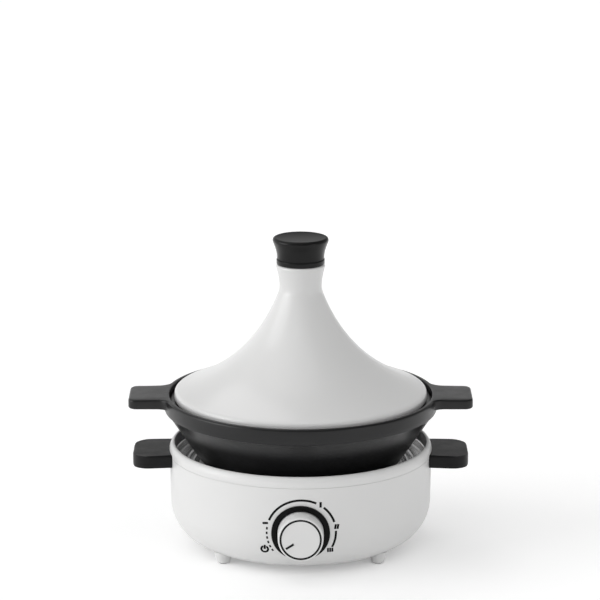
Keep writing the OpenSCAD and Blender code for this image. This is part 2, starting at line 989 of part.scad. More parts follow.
// Ceramic block on the cover's posts, with wire holes in its front, back and ends
module terminal_block() {
    bottom = cover_top + post_h;
    color("linen") difference() {
        translate([-block_size.x / 2, block_y - block_size.y / 2, bottom])
            cube(block_size);
        for (i = [-1:1])
            translate([i * terminal_pitch, block_y - block_size.y, bottom + terminal_h])
                rotate([-90, 0, 0])
                    cylinder(d = wire_d + 2 * wire_hole, h = 2 * block_size.y);
        for (x = [-1, 1])
            translate([x * block_size.x / 2, block_y, bottom + terminal_h])
                rotate([0, 90, 0])
                    cylinder(d = wire_d + 2 * wire_hole, h = 2 * (wire_seat + fit), center = true);
    }
}

module plate_outline(margin) {
    translate([0, inlet_z])
        round_rect(inlet_w + 2 * (plate_border + margin), inlet_h + 2 * (plate_border + margin),
                   inlet_corner + margin);
}

// Part of the wall round the socket, held by a lip on the inside
module inlet_plate() {
    lip_out = wall + fit;
    color("whitesmoke") difference() {
        union() {
            intersection() {
                difference() {
                    body_solid(0);
                    body_solid(lip_out + plate_lip_t);
                }
                backwards(0, body_d)
                    plate_outline(0);
            }
            intersection() {
                difference() {
                    body_solid(lip_out);
                    body_solid(lip_out + plate_lip_t);
                }
                backwards(0, body_d)
                    plate_outline(plate_lip);
            }
        }
        backwards(0, body_d)
            translate([0, inlet_z])
                round_rect(inlet_w + 2 * fit, inlet_h + 2 * fit, inlet_corner);
    }
}

// Socket for a plug-in lead, closed at the back
module inlet_socket() {
    color("black") difference() {
        union() {
            backwards(inlet_back, body_r + inlet_proud)
                translate([0, inlet_z])
                    round_rect(inlet_w, inlet_h, inlet_corner);
            difference() {
                backwards(body_r - inlet_seat, body_r + inlet_proud)
                    translate([0, inlet_z])
                        round_rect(inlet_w + 2 * inlet_flange, inlet_h + 2 * inlet_flange,
                                   inlet_corner + inlet_flange);
                body_solid(-fit);
            }
        }
        backwards(inlet_back + inlet_wall, body_d)
            translate([0, inlet_z])
                round_rect(inlet_w - 2 * inlet_wall, inlet_h - 2 * inlet_wall, inlet_corner / 2);
        at_pins()
            translate([-pin_size.x / 2 - fit, -inlet_wall, -pin_size.z / 2 - fit])
                cube([pin_size.x + 2 * fit, 3 * inlet_wall, pin_size.z + 2 * fit]);
    }
}

// Places of the live, earth and neutral pins
module at_pins() {
    for (p = pin_places)
        translate([p.x, inlet_back, inlet_z + p.y])
            children();
}

module inlet_pins() {
    color("silver") at_pins()
        translate([-pin_size.x / 2, -pin_tail, -pin_size.z / 2])
            cube([pin_size.x, pin_size.y + pin_tail, pin_size.z]);
}

// Wires from the inlet to the block
module supply_wires() {
    from_y = inlet_back - pin_tail - fit;
    to_y = block_y + block_size.y / 2 - wire_seat;
    color("brown") for (i = [-1, 1])
        wire([i * pin_gap, from_y, inlet_z - pin_low], [0, -supply_lean.x, 0],
             [i * terminal_pitch, to_y, terminal_z], [0, supply_lean.y, 0], [1, 0, 0]);
}

// Wires from the block to the thermostat
module control_wires() {
    from_y = block_y - block_size.y / 2 + wire_seat;
    to_y = thermostat_size.y - thermostat_front + tab_size.y - tab_sink + fit;
    color("firebrick") for (i = [-1, 1])
        wire([i * terminal_pitch, from_y, terminal_z], [0, -control_lean, 0],
             [i * tab_x, to_y, dial_z], [0, control_lean, 0], [1, 0, 0]);
}

// Wires from the element's legs to the block's ends
module element_wires() {
    leg_xy = element_ring_d / 2 * [sin(leg_turn), cos(leg_turn)];
    to_x = block_size.x / 2 - wire_seat;
    color("ivory") for (i = [-1, 1])
        wire([i * leg_xy.x, leg_xy.y, leg_bottom - fit], [0, 0, -element_lean.x],
             [i * to_x, block_y, terminal_z], [i * element_lean.y, 0, 0], [0, 1, 0]);
}

// Earth wire from the inlet to a stud of the plate
module earth_wire() {
    from_y = inlet_back - pin_tail - fit;
    color("green") wire([0, from_y, inlet_z + pin_high], [0, -earth_lean.x, 0],
                        [0, stud_circle_d / 2, stud_end_z - fit], [0, 0, -earth_lean.y], [1, 0, 0]);
}

// Cast pot with a stepped rim and two ears
module pot() {
    color("dimgray") translate([0, 0, pot_z]) {
        turned(concat(pot_outside(), pot_inside()));
        for (side = [0, 180])
            rotate(side)
                ear();
    }
}

// From the middle of the bottom, up the outside, to the recess
function pot_outside() =
    let (
        turn = 90 - cone_lean,
        cut = pot_round * tan(turn / 2),
        centre = [cone_foot_r - cut, pot_round],
        soft = 1.4
    )
    concat(
        [[0, 0]],
        arc(centre, pot_round, -90, -cone_lean, 8),
        [[cone_top_r, pot_h - band_h], [pot_r - 0.4, pot_h - band_h + 0.6]],
        arc([pot_r - soft, pot_h - soft], soft, 0, 90, 4),
        arc([recess_pot_r + 1, pot_h - 1], 1, 90, 180, 3)
    );

// From the ledge, down the inside, to the middle of the floor
function pot_inside() =
    let (
        gap = pot_wall / cos(cone_lean),
        step = 5,
        bowl_r = recess_pot_r - ledge_w - step,
        join_z = pot_h - band_h - (cone_top_r - gap - bowl_r) / cone_k,
        round_in = pot_round - pot_wall,
        foot_x = cone_foot_r - gap + cone_k * pot_floor,
        cut = round_in * tan((90 - cone_lean) / 2),
        centre = [foot_x - cut, pot_floor + round_in]
    )
    concat(
        [[recess_pot_r, ledge_z], [recess_pot_r - ledge_w, ledge_z]],
        [[bowl_r, ledge_z - step], [bowl_r, join_z]],
        arc(centre, round_in, -cone_lean, -90, 8),
        [[0, pot_floor]]
    );

// Flat handle that blends into the rim
module ear() {
    reach = pot_r + ear_l;
    top = pot_h - 0.6;
    edge = 3.5;
    crown = 260;
    intersection() {
        translate([0, 0, top - ear_t])
            linear_extrude(ear_t)
                ear_plan(reach);
        translate([0, ear_w, top - ear_t / 2])
            rotate([90, 0, 0])
                linear_extrude(2 * ear_w)
                    translate([reach - pot_r, 0])
                        round_rect(2 * pot_r, ear_t, edge);
        translate([0, 0, top - crown])
            rotate([0, 90, 0])
                cylinder(r = crown, h = 2 * reach);
    }
}

module ear_plan(reach) {
    far = reach - ear_corner;
    blend = [sqrt((pot_r + ear_fillet)^2 - (ear_w / 2 + ear_fillet)^2), ear_w / 2 + ear_fillet];
    difference() {
        union() {
            translate([0, -ear_w / 2])
                square([far, ear_w]);
            translate([0, ear_corner - ear_w / 2])
                square([reach, ear_w - 2 * ear_corner]);
            for (y = [-1, 1])
                translate([far, y * (ear_w / 2 - ear_corner)])
                    circle(ear_corner);
            for (y = [-1, 1])
                mirror([0, y < 0 ? 1 : 0])
                    difference() {
                        polygon([[0, 0], [blend.x, 0], blend, blend * pot_r / (pot_r + ear_fillet)]);
                        translate(blend)
                            circle(ear_fillet);
                    }
        }
        circle(pot_r - lip_w / 2);
    }
}

// Flanged insert with a stepped wall and a ribbed floor
module grill_pan() {
    color("dimgray") translate([0, 0, pan_z]) {
        turned(concat(pan_outside(), pan_inside()));
        ribs();
    }
}

function pan_outside() =
    let (
        foot_r = pan_out_r - pan_round,
        foot_w = 12,
        step_r = flange_in_r + pan_wall - 0.4,
        step_z = pan_h - step_drop - pan_wall,
        soft = 1.2
    )
    concat(
        [[0, pan_foot_h], [foot_r - foot_w - pan_foot_h, pan_foot_h], [foot_r - foot_w, 0]],
        arc([foot_r, pan_round], pan_round, -90, 0, 8),
        [[pan_out_r, step_z - 1], [pan_out_r + 1, step_z], [step_r, step_z]],
        [[step_r, pan_h - flange_t], [flange_r - soft, pan_h - flange_t]],
        arc([flange_r - soft, pan_h - flange_t + soft], soft, -90, 0, 3),
        arc([flange_r - soft, pan_h - soft], soft, 0, 90, 3)
    );

function pan_inside() =
    let (
        soft = 1,
        round_in = pan_round - pan_wall,
        ledge = pan_h - step_drop
    )
    concat(
        [[flange_in_r + soft, pan_h], [flange_in_r, pan_h - soft], [flange_in_r - 0.5, ledge]],
        [[pan_in_r + soft, ledge], [pan_in_r, ledge - soft]],
        arc([pan_in_r - round_in, pan_floor_z + round_in], round_in, 0, -90, 7),
        [[0, pan_floor_z]]
    );

module ribs() {
    slope = 1;
    sink = 1;
    for (i = [0:rib_n - 1]) {
        y = (i - (rib_n - 1) / 2) * rib_pitch;
        half = sqrt(rib_zone_d^2 / 4 - y^2);
        translate([-half, y, pan_floor_z])
            rotate([90, 0, 90])
                linear_extrude(2 * half)
                    polygon([[-rib_w / 2, -sink], [rib_w / 2, -sink], [rib_w / 2, 0],
                             [rib_w / 2 - slope, rib_h], [slope - rib_w / 2, rib_h], [-rib_w / 2, 0]]);
    }
}

// Half section of the lid: edge band, flare, open neck and the same way back inside
function lid_section() =
    let (
        shoulder = [lid_r - shoulder_in, lid_band + shoulder_up],
        waist = [waist_d / 2, lid_h - neck_h],
        rise = waist.y - shoulder.y,
        run = shoulder.x - waist.x,
        crown = [neck_d / 2 - crown_r, lid_h - crown_r],
        flare = curve(shoulder, shoulder + [-0.545 * run, 0.205 * rise],
                      waist + [0.16 * run, -0.42 * rise], waist, 18),
        neck = curve(waist, waist + [-3.1, 0.25 * neck_h], [crown.x + crown_r - 2.3, lid_h - 0.3 * neck_h],
                     crown + [crown_r, 0], 10),
        skin = concat(flare, [for (i = [1:len(neck) - 1]) neck[i]]),
        inner = reversed(shifted(skin, lid_wall)),
        lip_r = flange_in_r - lip_gap,
        lip_in = lip_r - lip_t
    )
    concat(
        [[lip_in, -lid_lip], [lip_r - lip_edge, -lid_lip], [lip_r, -lid_lip + lip_edge], [lip_r, 0]],
        curve([lid_r - 2.4, 0], [lid_r - 0.8, 0], [lid_r, 0.8], [lid_r, 2.6], 4),
        curve([lid_r, lid_band - 2], [lid_r, lid_band + 1], [lid_r - 1, lid_band + 2.9], shoulder, 5),
        [for (i = [1:len(skin) - 1]) skin[i]],
        arc(crown, crown_r, 20, 160, 6),
        [for (i = [1:len(inner) - 1]) inner[i]],
        [[lip_in, shoulder.y - lid_wall]]
    );

// The part of the lid between two heights
module lid_between(low, high) {
    translate([0, 0, lid_z])
        rotate_extrude() intersection() {
            polygon(lid_section());
            translate([0, low])
                square([lid_r, high - low]);
        }
}

module lid() {
    color("white") lid_between(-lid_lip, neck_foot_z - fit / 2);
}

module lid_neck() {
    color("white") lid_between(neck_foot_z + fit / 2, lid_h);
}

// Flared cap, hollow underneath
module stopper() {
    foot_r = cap_foot_d / 2;
    waist_r = cap_waist_d / 2;
    top_r = cap_d / 2;
    soft = 3.2;
    groove = 0.5;
    flare = curve([waist_r, cap_foot_h + 1.4], [waist_r, 0.5 * cap_h],
                  [top_r - 1.6, 0.7 * cap_h], [top_r, cap_h - soft - 0.6], 8);
    hollow_r = foot_r - cap_wall;
    color("black") translate([0, 0, cap_z])
        turned(concat(
            [[hollow_r, 0], [foot_r - 0.6, 0], [foot_r, 0.6]],
            [[foot_r, cap_foot_h], [waist_r - groove, cap_foot_h + 0.3]],
            flare,
            arc([top_r - soft, cap_h - soft], soft, 0, 90, 5),
            [[0, cap_h - 0.8]],
            [[0, cap_h - cap_wall - 1.5], [hollow_r - 4, cap_h - cap_wall - 1.5], [hollow_r, cap_h - 9]]
        ));
}

// Silicone ring in the stopper's foot, with a lip that finds the neck
module stopper_seal() {
    outer = cap_foot_d / 2 - cap_wall - fit;
    lip_r = min(outer, bore_r - 0.4);
    lip_h = 1.2;
    seal_h = 5;
    ring_w = 4;
    color("gray") translate([0, 0, cap_z])
        turned([[lip_r - ring_w, -lip_h], [lip_r - 0.5, -lip_h], [lip_r, 0.5 - lip_h], [lip_r, 0.2],
                [outer, 0.2], [outer, seal_h], [lip_r - ring_w, seal_h]]);
}

housing();
rim_collar();
well_liner();
heating_plate();
heating_element();
heat_shield();
plate_spacers();
plate_bolts();
thermal_fuse();
fuse_clip();
bottom_cover();
cover_screws();
feet();
foot_pads();
handle_left();
handle_right();
handle_screws();
dial_bezel();
thermostat_bracket();
thermostat_body();
thermostat_nut();
terminal_block();
inlet_plate();
inlet_socket();
inlet_pins();
supply_wires();
control_wires();
element_wires();
earth_wire();
thermostat_shaft();
dial_knob();
dial_ring();
dial_pointer();
pot();
grill_pan();
lid();
lid_neck();
stopper();
stopper_seal();
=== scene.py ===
"""Looks of an electric tagine: a white heated base with a dial, a black cast pot, a ribbed grill pan,
a glazed conical lid and a black stopper. Outlines are written in millimetres, as (radius, height)."""

import json
import math

import bmesh
import bpy
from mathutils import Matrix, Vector
from mathutils.bvhtree import BVHTree


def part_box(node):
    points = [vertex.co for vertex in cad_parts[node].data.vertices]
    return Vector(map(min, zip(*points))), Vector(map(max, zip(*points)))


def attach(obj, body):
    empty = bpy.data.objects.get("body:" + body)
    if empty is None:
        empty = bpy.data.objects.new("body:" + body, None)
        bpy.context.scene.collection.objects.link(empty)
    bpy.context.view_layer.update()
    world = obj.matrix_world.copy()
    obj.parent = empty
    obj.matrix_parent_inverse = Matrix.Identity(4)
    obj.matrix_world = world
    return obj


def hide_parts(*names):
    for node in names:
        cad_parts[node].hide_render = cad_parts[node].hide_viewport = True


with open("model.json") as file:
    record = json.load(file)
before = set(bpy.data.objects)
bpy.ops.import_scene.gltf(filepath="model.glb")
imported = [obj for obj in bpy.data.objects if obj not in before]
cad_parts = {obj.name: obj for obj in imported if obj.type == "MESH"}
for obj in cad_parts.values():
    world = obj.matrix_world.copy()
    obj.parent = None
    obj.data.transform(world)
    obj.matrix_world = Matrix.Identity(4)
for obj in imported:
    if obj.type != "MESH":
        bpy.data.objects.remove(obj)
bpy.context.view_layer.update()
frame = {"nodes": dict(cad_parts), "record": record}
nodes = frame["nodes"]

MM = 0.001
SEGMENTS = 192
CLEARANCE = 0.1
WHITE = (1, 1, 1, 1)


def box_mm(node):
    """Lowest and highest corner of a CAD node, in millimetres."""
    low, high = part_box(node)
    return low / MM, high / MM


def add_object(name, data):
    """A new object in the scene."""
    made = bpy.data.objects.new(name, data)
    bpy.context.scene.collection.objects.link(made)
    return made


# Outlines


def curve(a, b, c, d, steps):
    """Points on a cubic curve."""
    points = []
    for i in range(steps + 1):
        t = i / steps
        u = 1 - t
        weights = (u**3, 3 * u * u * t, 3 * u * t * t, t**3)
        points.append(tuple(sum(w * p[k] for w, p in zip(weights, (a, b, c, d))) for k in (0, 1)))
    return points


def arc(centre, radius, start, end, steps):
    """Points on an arc, with its angles in degrees."""
    angles = [math.radians(start + (end - start) * i / steps) for i in range(steps + 1)]
    return [(centre[0] + radius * math.cos(a), centre[1] + radius * math.sin(a)) for a in angles]


def beside(path, distance):
    """A path moved to its left by a distance."""
    moved = []
    for i, point in enumerate(path):
        before = path[max(i - 1, 0)]
        after = path[min(i + 1, len(path) - 1)]
        along = Vector((after[0] - before[0], after[1] - before[1])).normalized()
        moved.append((point[0] - distance * along.y, point[1] + distance * along.x))
    return moved


# Values in shaders


def between(tree, source, low, high, at_low=0.0, at_high=1.0):
    """A value that runs from low to high while its source runs between two ends."""
    mapping = tree.nodes.new("ShaderNodeMapRange")
    mapping.inputs["From Min"].default_value = at_low
    mapping.inputs["From Max"].default_value = at_high
    mapping.inputs["To Min"].default_value = low
    mapping.inputs["To Max"].default_value = high
    tree.links.new(source, mapping.inputs["Value"])
    return mapping.outputs["Result"]


def combine(tree, operation, a, b):
    """The product of two values, or the larger one."""
    node = tree.nodes.new("ShaderNodeMath")
    node.operation = operation
    tree.links.new(a, node.inputs[0])
    tree.links.new(b, node.inputs[1])
    return node.outputs[0]


# Finishes

NOISE_ROUGHNESS = 0.55
MIDDLE_RANGE = (0.3, 0.7)

# Length of one wave of the wave texture at scale 1, in metres
WAVE_LENGTH = 2 * math.pi / 20


def shader_of(material):
    """The shader that gives a material its values."""
    return material.node_tree.nodes["Principled BSDF"]


def new_finish(name, colour, roughness, metallic=0.0, **constants):
    """A material with plain values, to which detail is added."""
    material = bpy.data.materials.new(name)
    material.use_nodes = True
    shader = shader_of(material)
    shader.inputs["Base Color"].default_value = (*colour, 1)
    shader.inputs["Roughness"].default_value = roughness
    shader.inputs["Metallic"].default_value = metallic
    for socket, value in constants.items():
        shader.inputs[socket.replace("_", " ")].default_value = value
    return material


def coordinates(material, kind="Object"):
    """The piece's own coordinates or normals, from one node for all of a material's textures."""
    tree = material.node_tree
    found = tree.nodes.get("Texture Coordinate")
    return (found or tree.nodes.new("ShaderNodeTexCoord")).outputs[kind]


def noise(material, per_metre, detail=3.0):
    """Random patches."""
    tree = material.node_tree
    texture = tree.nodes.new("ShaderNodeTexNoise")
    texture.inputs["Scale"].default_value = per_metre
    texture.inputs["Detail"].default_value = detail
    texture.inputs["Roughness"].default_value = NOISE_ROUGHNESS
    tree.links.new(coordinates(material), texture.inputs["Vector"])
    return texture.outputs["Fac"]


def cells(material, per_metre):
    """Rounded pits with ridges between them."""
    tree = material.node_tree
    texture = tree.nodes.new("ShaderNodeTexVoronoi")
    texture.feature = "SMOOTH_F1"
    texture.inputs["Scale"].default_value = per_metre
    tree.links.new(coordinates(material), texture.inputs["Vector"])
    return texture.outputs["Distance"]


def rings(material, pitch):
    """Turning marks round the Z axis, one every pitch in metres."""
    tree = material.node_tree
    texture = tree.nodes.new("ShaderNodeTexWave")
    texture.wave_type = "RINGS"
    texture.rings_direction = "Z"
    texture.inputs["Scale"].default_value = WAVE_LENGTH / pitch
    tree.links.new(coordinates(material), texture.inputs["Vector"])
    return texture.outputs["Fac"]


def spread(material, source, low, high):
    """A texture's middle range, spread between two values."""
    return between(material.node_tree, source, low, high, *MIDDLE_RANGE)


def vary_roughness(material, source, low, high):
    """Lets a texture make a material glossier or duller."""
    tree = material.node_tree
    tree.links.new(spread(material, source, low, high), shader_of(material).inputs["Roughness"])


def vary_colour(material, source, dark, light):
    """Lets a texture make a material darker or lighter."""
    tree = material.node_tree
    mix = tree.nodes.new("ShaderNodeMix")
    mix.data_type = "RGBA"
    mix.inputs["A"].default_value = (*dark, 1)
    mix.inputs["B"].default_value = (*light, 1)
    tree.links.new(spread(material, source, 0.0, 1.0), mix.inputs["Factor"])
    tree.links.new(mix.outputs["Result"], shader_of(material).inputs["Base Color"])


def add_bump(material, source, depth):
    """Relief of a depth in metres, laid over any relief that is there."""
    tree = material.node_tree
    normal = shader_of(material).inputs["Normal"]
    bump = tree.nodes.new("ShaderNodeBump")
    bump.inputs["Distance"].default_value = depth
    tree.links.new(source, bump.inputs["Height"])
    if normal.is_linked:
        tree.links.new(normal.links[0].from_socket, bump.inputs["Normal"])
    tree.links.new(bump.outputs["Normal"], normal)


def round_tangent(material):
    """Turns the gloss across the turning marks."""
    tree = material.node_tree
    tangent = tree.nodes.new("ShaderNodeTangent")
    tangent.direction_type = "RADIAL"
    tangent.axis = "Z"
    tree.links.new(tangent.outputs["Tangent"], shader_of(material).inputs["Tangent"])


def shade(colour, share):
    """A colour darkened to a share of its light."""
    return tuple(share * c for c in colour)


def moulded(name, colour, roughness, grain_per_metre, grain_depth, darkest, specular):
    """Moulded plastic or rubber with a fine grain and slightly uneven gloss."""
    material = new_finish(name, colour, roughness, Specular_IOR_Level=specular)
    patches = noise(material, per_metre=14)
    wear = noise(material, per_metre=60)
    grain = noise(material, grain_per_metre, detail=2.0)
    vary_colour(material, patches, shade(colour, darkest), colour)
    vary_roughness(material, wear, low=roughness - 0.04, high=roughness + 0.05)
    add_bump(material, grain, grain_depth)
    return material


def polished(name, colour, side, top, specular):
    """Plastic that is polished round its side and duller where it faces up."""
    material = new_finish(name, colour, side, Specular_IOR_Level=specular)
    tree = material.node_tree
    patches = noise(material, per_metre=14)
    grain = noise(material, per_metre=1500, detail=2.0)
    facing = tree.nodes.new("ShaderNodeSeparateXYZ")
    tree.links.new(coordinates(material, "Normal"), facing.inputs["Vector"])
    vary_colour(material, patches, shade(colour, 0.8), colour)
    vary_roughness(material, facing.outputs["Z"], side, top)
    add_bump(material, grain, depth=0.000004)
    return material


def glazed(name, colour):
    """Glazed stoneware: slow ripples, faint pooling and a clear coat."""
    material = new_finish(name, colour, roughness=0.3, Coat_Weight=0.35, Coat_Roughness=0.16)
    pooling = noise(material, per_metre=9, detail=0.0)
    wear = noise(material, per_metre=12, detail=0.0)
    ripples = noise(material, per_metre=24, detail=1.0)
    grain = noise(material, per_metre=700, detail=2.0)
    vary_colour(material, pooling, shade(colour, 0.985), colour)
    vary_roughness(material, wear, low=0.28, high=0.32)
    add_bump(material, ripples, depth=0.00012)
    add_bump(material, grain, depth=0.000012)
    return material


def coated(name, pebble_depth=0.0):
    """Black non-stick coating on cast metal, smooth or pebbled."""
    material = new_finish(name, COATING, roughness=0.31, Specular_IOR_Level=0.36)
    specks = noise(material, per_metre=1400, detail=2.0)
    wear = noise(material, per_metre=90)
    grain = noise(material, per_metre=1100)
    vary_colour(material, specks, COATING_DARK, COATING_LIGHT)
    vary_roughness(material, wear, low=0.28, high=0.35)
    add_bump(material, grain, depth=0.00003)
    if pebble_depth:
        add_bump(material, cells(material, per_metre=560), pebble_depth)
    return material


def turned_metal(name, colour, roughness, pitch, depth, anisotropy):
    """Bare metal with turning marks and slightly uneven gloss."""
    material = new_finish(
        name, colour, roughness, metallic=1.0, Anisotropic=anisotropy, Anisotropic_Rotation=0.25
    )
    round_tangent(material)
    stains = noise(material, per_metre=20, detail=0.0)
    wear = noise(material, per_metre=30, detail=0.0)
    vary_colour(material, stains, shade(colour, 0.97), colour)
    vary_roughness(material, wear, low=roughness - 0.01, high=roughness + 0.02)
    add_bump(material, rings(material, pitch), depth)
    return material


def plated(name, colour, roughness):
    """Small metal parts with a dull plated skin."""
    material = new_finish(name, colour, roughness, metallic=1.0)
    stains = noise(material, per_metre=180)
    wear = noise(material, per_metre=300)
    grain = noise(material, per_metre=1600)
    vary_colour(material, stains, shade(colour, 0.85), colour)
    vary_roughness(material, wear, low=roughness - 0.06, high=roughness + 0.08)
    add_bump(material, grain, depth=0.00001)
    return material


COATING = (0.009, 0.009, 0.0095)
COATING_DARK = (0.008, 0.008, 0.0085)
COATING_LIGHT = (0.011, 0.011, 0.0115)

# Colour, roughness, grain per metre, its depth in metres, darkest share and specular level
MOULDED = {
    "white_plastic": ((0.79, 0.79, 0.785), 0.36, 900, 0.000012, 0.985, 0.5),
    "black_plastic": ((0.009, 0.009, 0.0095), 0.4, 2200, 0.00003, 0.8, 0.18),
    "bezel_black": ((0.004, 0.004, 0.004), 0.36, 1800, 0.00001, 0.8, 0.1),
    "print_ink": ((0.006, 0.006, 0.006), 0.5, 3000, 0.000004, 0.8, 0.1),
    "brown_plastic": ((0.16, 0.08, 0.04), 0.5, 1500, 0.00003, 0.96, 0.5),
    "grey_rubber": ((0.1, 0.1, 0.1), 0.75, 1500, 0.00005, 0.85, 0.5),
    "silicone": ((0.22, 0.22, 0.22), 0.6, 1200, 0.00003, 0.96, 0.5),
    "brown_wire": ((0.13, 0.05, 0.02), 0.5, 900, 0.00003, 0.96, 0.5),
    "red_wire": ((0.4, 0.03, 0.02), 0.5, 900, 0.00003, 0.96, 0.5),
    "white_wire": ((0.7, 0.68, 0.62), 0.65, 1800, 0.00008, 0.85, 0.5),
    "green_wire": ((0.1, 0.3, 0.05), 0.5, 900, 0.00003, 0.96, 0.5),
    "steatite": ((0.72, 0.67, 0.58), 0.55, 1300, 0.00004, 0.96, 0.5),
}

# Colour, roughness, pitch and depth of the turning marks in metres, and anisotropy
TURNED = {
    "turned_aluminium": ((0.8, 0.8, 0.8), 0.25, 0.0012, 0.0000004, 0.85),
    "stainless": ((0.66, 0.66, 0.66), 0.24, 0.0014, 0.0000005, 0.5),
}

# Colour and roughness
PLATED = {
    "element_steel": ((0.22, 0.21, 0.2), 0.5),
    "zinc_steel": ((0.6, 0.61, 0.62), 0.35),
    "pin_brass": ((0.75, 0.68, 0.5), 0.3),
}

finishes = {name: moulded(name, *values) for name, values in MOULDED.items()}
finishes |= {name: turned_metal(name, *values) for name, values in TURNED.items()}
finishes |= {name: plated(name, *values) for name, values in PLATED.items()}
finishes["black_gloss"] = polished("black_gloss", (0.006, 0.006, 0.006), side=0.22, top=0.45, specular=0.22)
finishes["white_glaze"] = glazed("white_glaze", (0.74, 0.74, 0.735))
finishes["nonstick"] = coated("nonstick")
finishes["nonstick_pebbled"] = coated("nonstick_pebbled", pebble_depth=0.0006)

for part in frame["record"]["subparts"]:
    mesh = nodes[part["node"]].data
    mesh.materials.clear()
    mesh.materials.append(finishes[part["material_slot"]])
nodes["dial_bezel"].data.materials[0] = finishes["bezel_black"]

# Edges of CAD parts

WELD_DISTANCE = 1e-6
EDGE_ANGLE = 35
EDGE_STEPS = 4


def join_faces(node):
    """Joins the faces of a CAD part at their edges, so that it can be reshaped as one."""
    join = nodes[node].modifiers.new("joined", "WELD")
    join.merge_threshold = WELD_DISTANCE


def soften(node, width):
    """Rounds the edges of a CAD part, with its width in millimetres."""
    join_faces(node)
    bevel = nodes[node].modifiers.new("soft_edges", "BEVEL")
    bevel.width = width * MM
    bevel.segments = EDGE_STEPS
    bevel.limit_method = "ANGLE"
    bevel.angle_limit = math.radians(EDGE_ANGLE)


def swell(node, depth):
    """Makes a thin inlay a little bolder, with its depth in millimetres."""
    join_faces(node)
    grow = nodes[node].modifiers.new("bolder", "DISPLACE")
    grow.strength = depth * MM
    grow.mid_level = 0


soften("dial_bezel", width=1.0)
swell("dial_ring", depth=0.2)
swell("dial_pointer", depth=0.45)

# Meshes

SAME_PLACE = 2e-7
SHARP_ANGLE = 32


def even_angles():
    """Angles spread evenly all the way round."""
    return [2 * math.pi * i / SEGMENTS for i in range(SEGMENTS)]


def upright(x, y, h):
    """A point given in millimetres, with its height last."""
    return Vector((x, y, h)) * MM


def at_angle(value, angle):
    """A value that may depend on the angle."""
    return value(angle) if callable(value) else value


def loft(sections, angles=None, closed=False):
    """Rings of (radius, height) joined in order.

    Either may depend on the angle, and radius 0 is a point."""
    angles = angles or even_angles()
    bm = bmesh.new()
    loops = []
    for radius, height in sections:
        if radius == 0:
            loops.append([bm.verts.new(upright(0, 0, height))])
            continue
        loop = []
        for a in angles:
            r = at_angle(radius, a)
            loop.append(bm.verts.new(upright(r * math.cos(a), r * math.sin(a), at_angle(height, a))))
        loops.append(loop)
    pairs = list(zip(loops, loops[1:]))
    if closed:
        pairs.append((loops[-1], loops[0]))
    for low, high in pairs:
        bridge(bm, low, high, len(angles))
    return bm


def bridge(bm, low, high, count):
    """Faces between two rings, either of which may be a point."""
    for i in range(count):
        j = (i + 1) % count
        corners = [low[i % len(low)], low[j % len(low)], high[j % len(high)], high[i % len(high)]]
        bm.faces.new(list(dict.fromkeys(corners)))


def close_bar(bm, loops):
    """Faces along a row of sections and over both ends."""
    for low, high in zip(loops, loops[1:]):
        bridge(bm, low, high, len(low))
    bm.faces.new(loops[0])
    bm.faces.new(loops[-1])


def mesh_of(name, bm):
    """The finished mesh of what was drawn."""
    mesh = bpy.data.meshes.new(name)
    bm.to_mesh(mesh)
    bm.free()
    return mesh


def piece(name, bm, body, slot, replaced=(), sharp=SHARP_ANGLE, finish=None):
    """Makes an object of a mesh, gives it its finish and fixes it to a body."""
    bmesh.ops.remove_doubles(bm, verts=bm.verts, dist=SAME_PLACE)
    bmesh.ops.dissolve_degenerate(bm, edges=bm.edges, dist=SAME_PLACE)
    bmesh.ops.recalc_face_normals(bm, faces=bm.faces)
    mesh = mesh_of(name, bm)
    mesh.shade_smooth()
    mesh.set_sharp_from_angle(angle=math.radians(sharp))
    mesh.materials.append(finishes[finish or slot])
    made = add_object(name, mesh)
    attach(made, body)
    if replaced:
        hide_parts(*replaced)
    return made


# Lid

LID_LIP = 1.8
LID_BAND = 7.4
LID_WALL = 5.0
SHOULDER_IN = 4.5
SHOULDER_UP = 4.2
NECK_D = 54.6
WAIST_D = 50.0
NECK_H = 32.8
CROWN_R = 2.4
CROWN_ANGLES = (15, 165)
LIP_IN = 8.9
LIP_T = 5.0
LIP_CHAMFER = 0.6
LIP_ROUND = 0.7
BRIM_IN = 2.4
BRIM_UP = 2.6

# How far the handles of the curves reach, in millimetres
BRIM_PULL = 0.8
BAND_END = 2.0
BAND_PULL = 1.0
SHOULDER_PULL = (1.0, 2.9)

# The same for the flare, as shares of its run and rise
FLARE_START = (0.545, 0.205)
FLARE_END = (0.16, 0.42)

# The same for the neck, in millimetres inwards and as a share of its height
NECK_START = (3.1, 0.25)
NECK_END = (2.3, 0.3)


def lid_skin(shoulder, waist, top):
    """The flare from the shoulder up to the waist, and the neck above it."""
    run = shoulder[0] - waist[0]
    rise = waist[1] - shoulder[1]
    neck_r = NECK_D / 2
    flare = curve(
        shoulder,
        (shoulder[0] - FLARE_START[0] * run, shoulder[1] + FLARE_START[1] * rise),
        (waist[0] + FLARE_END[0] * run, waist[1] - FLARE_END[1] * rise),
        waist,
        64,
    )
    neck = curve(
        waist,
        (waist[0] - NECK_START[0], waist[1] + NECK_START[1] * NECK_H),
        (neck_r - NECK_END[0], top - NECK_END[1] * NECK_H),
        (neck_r, top - CROWN_R),
        24,
    )
    return flare + neck[1:]


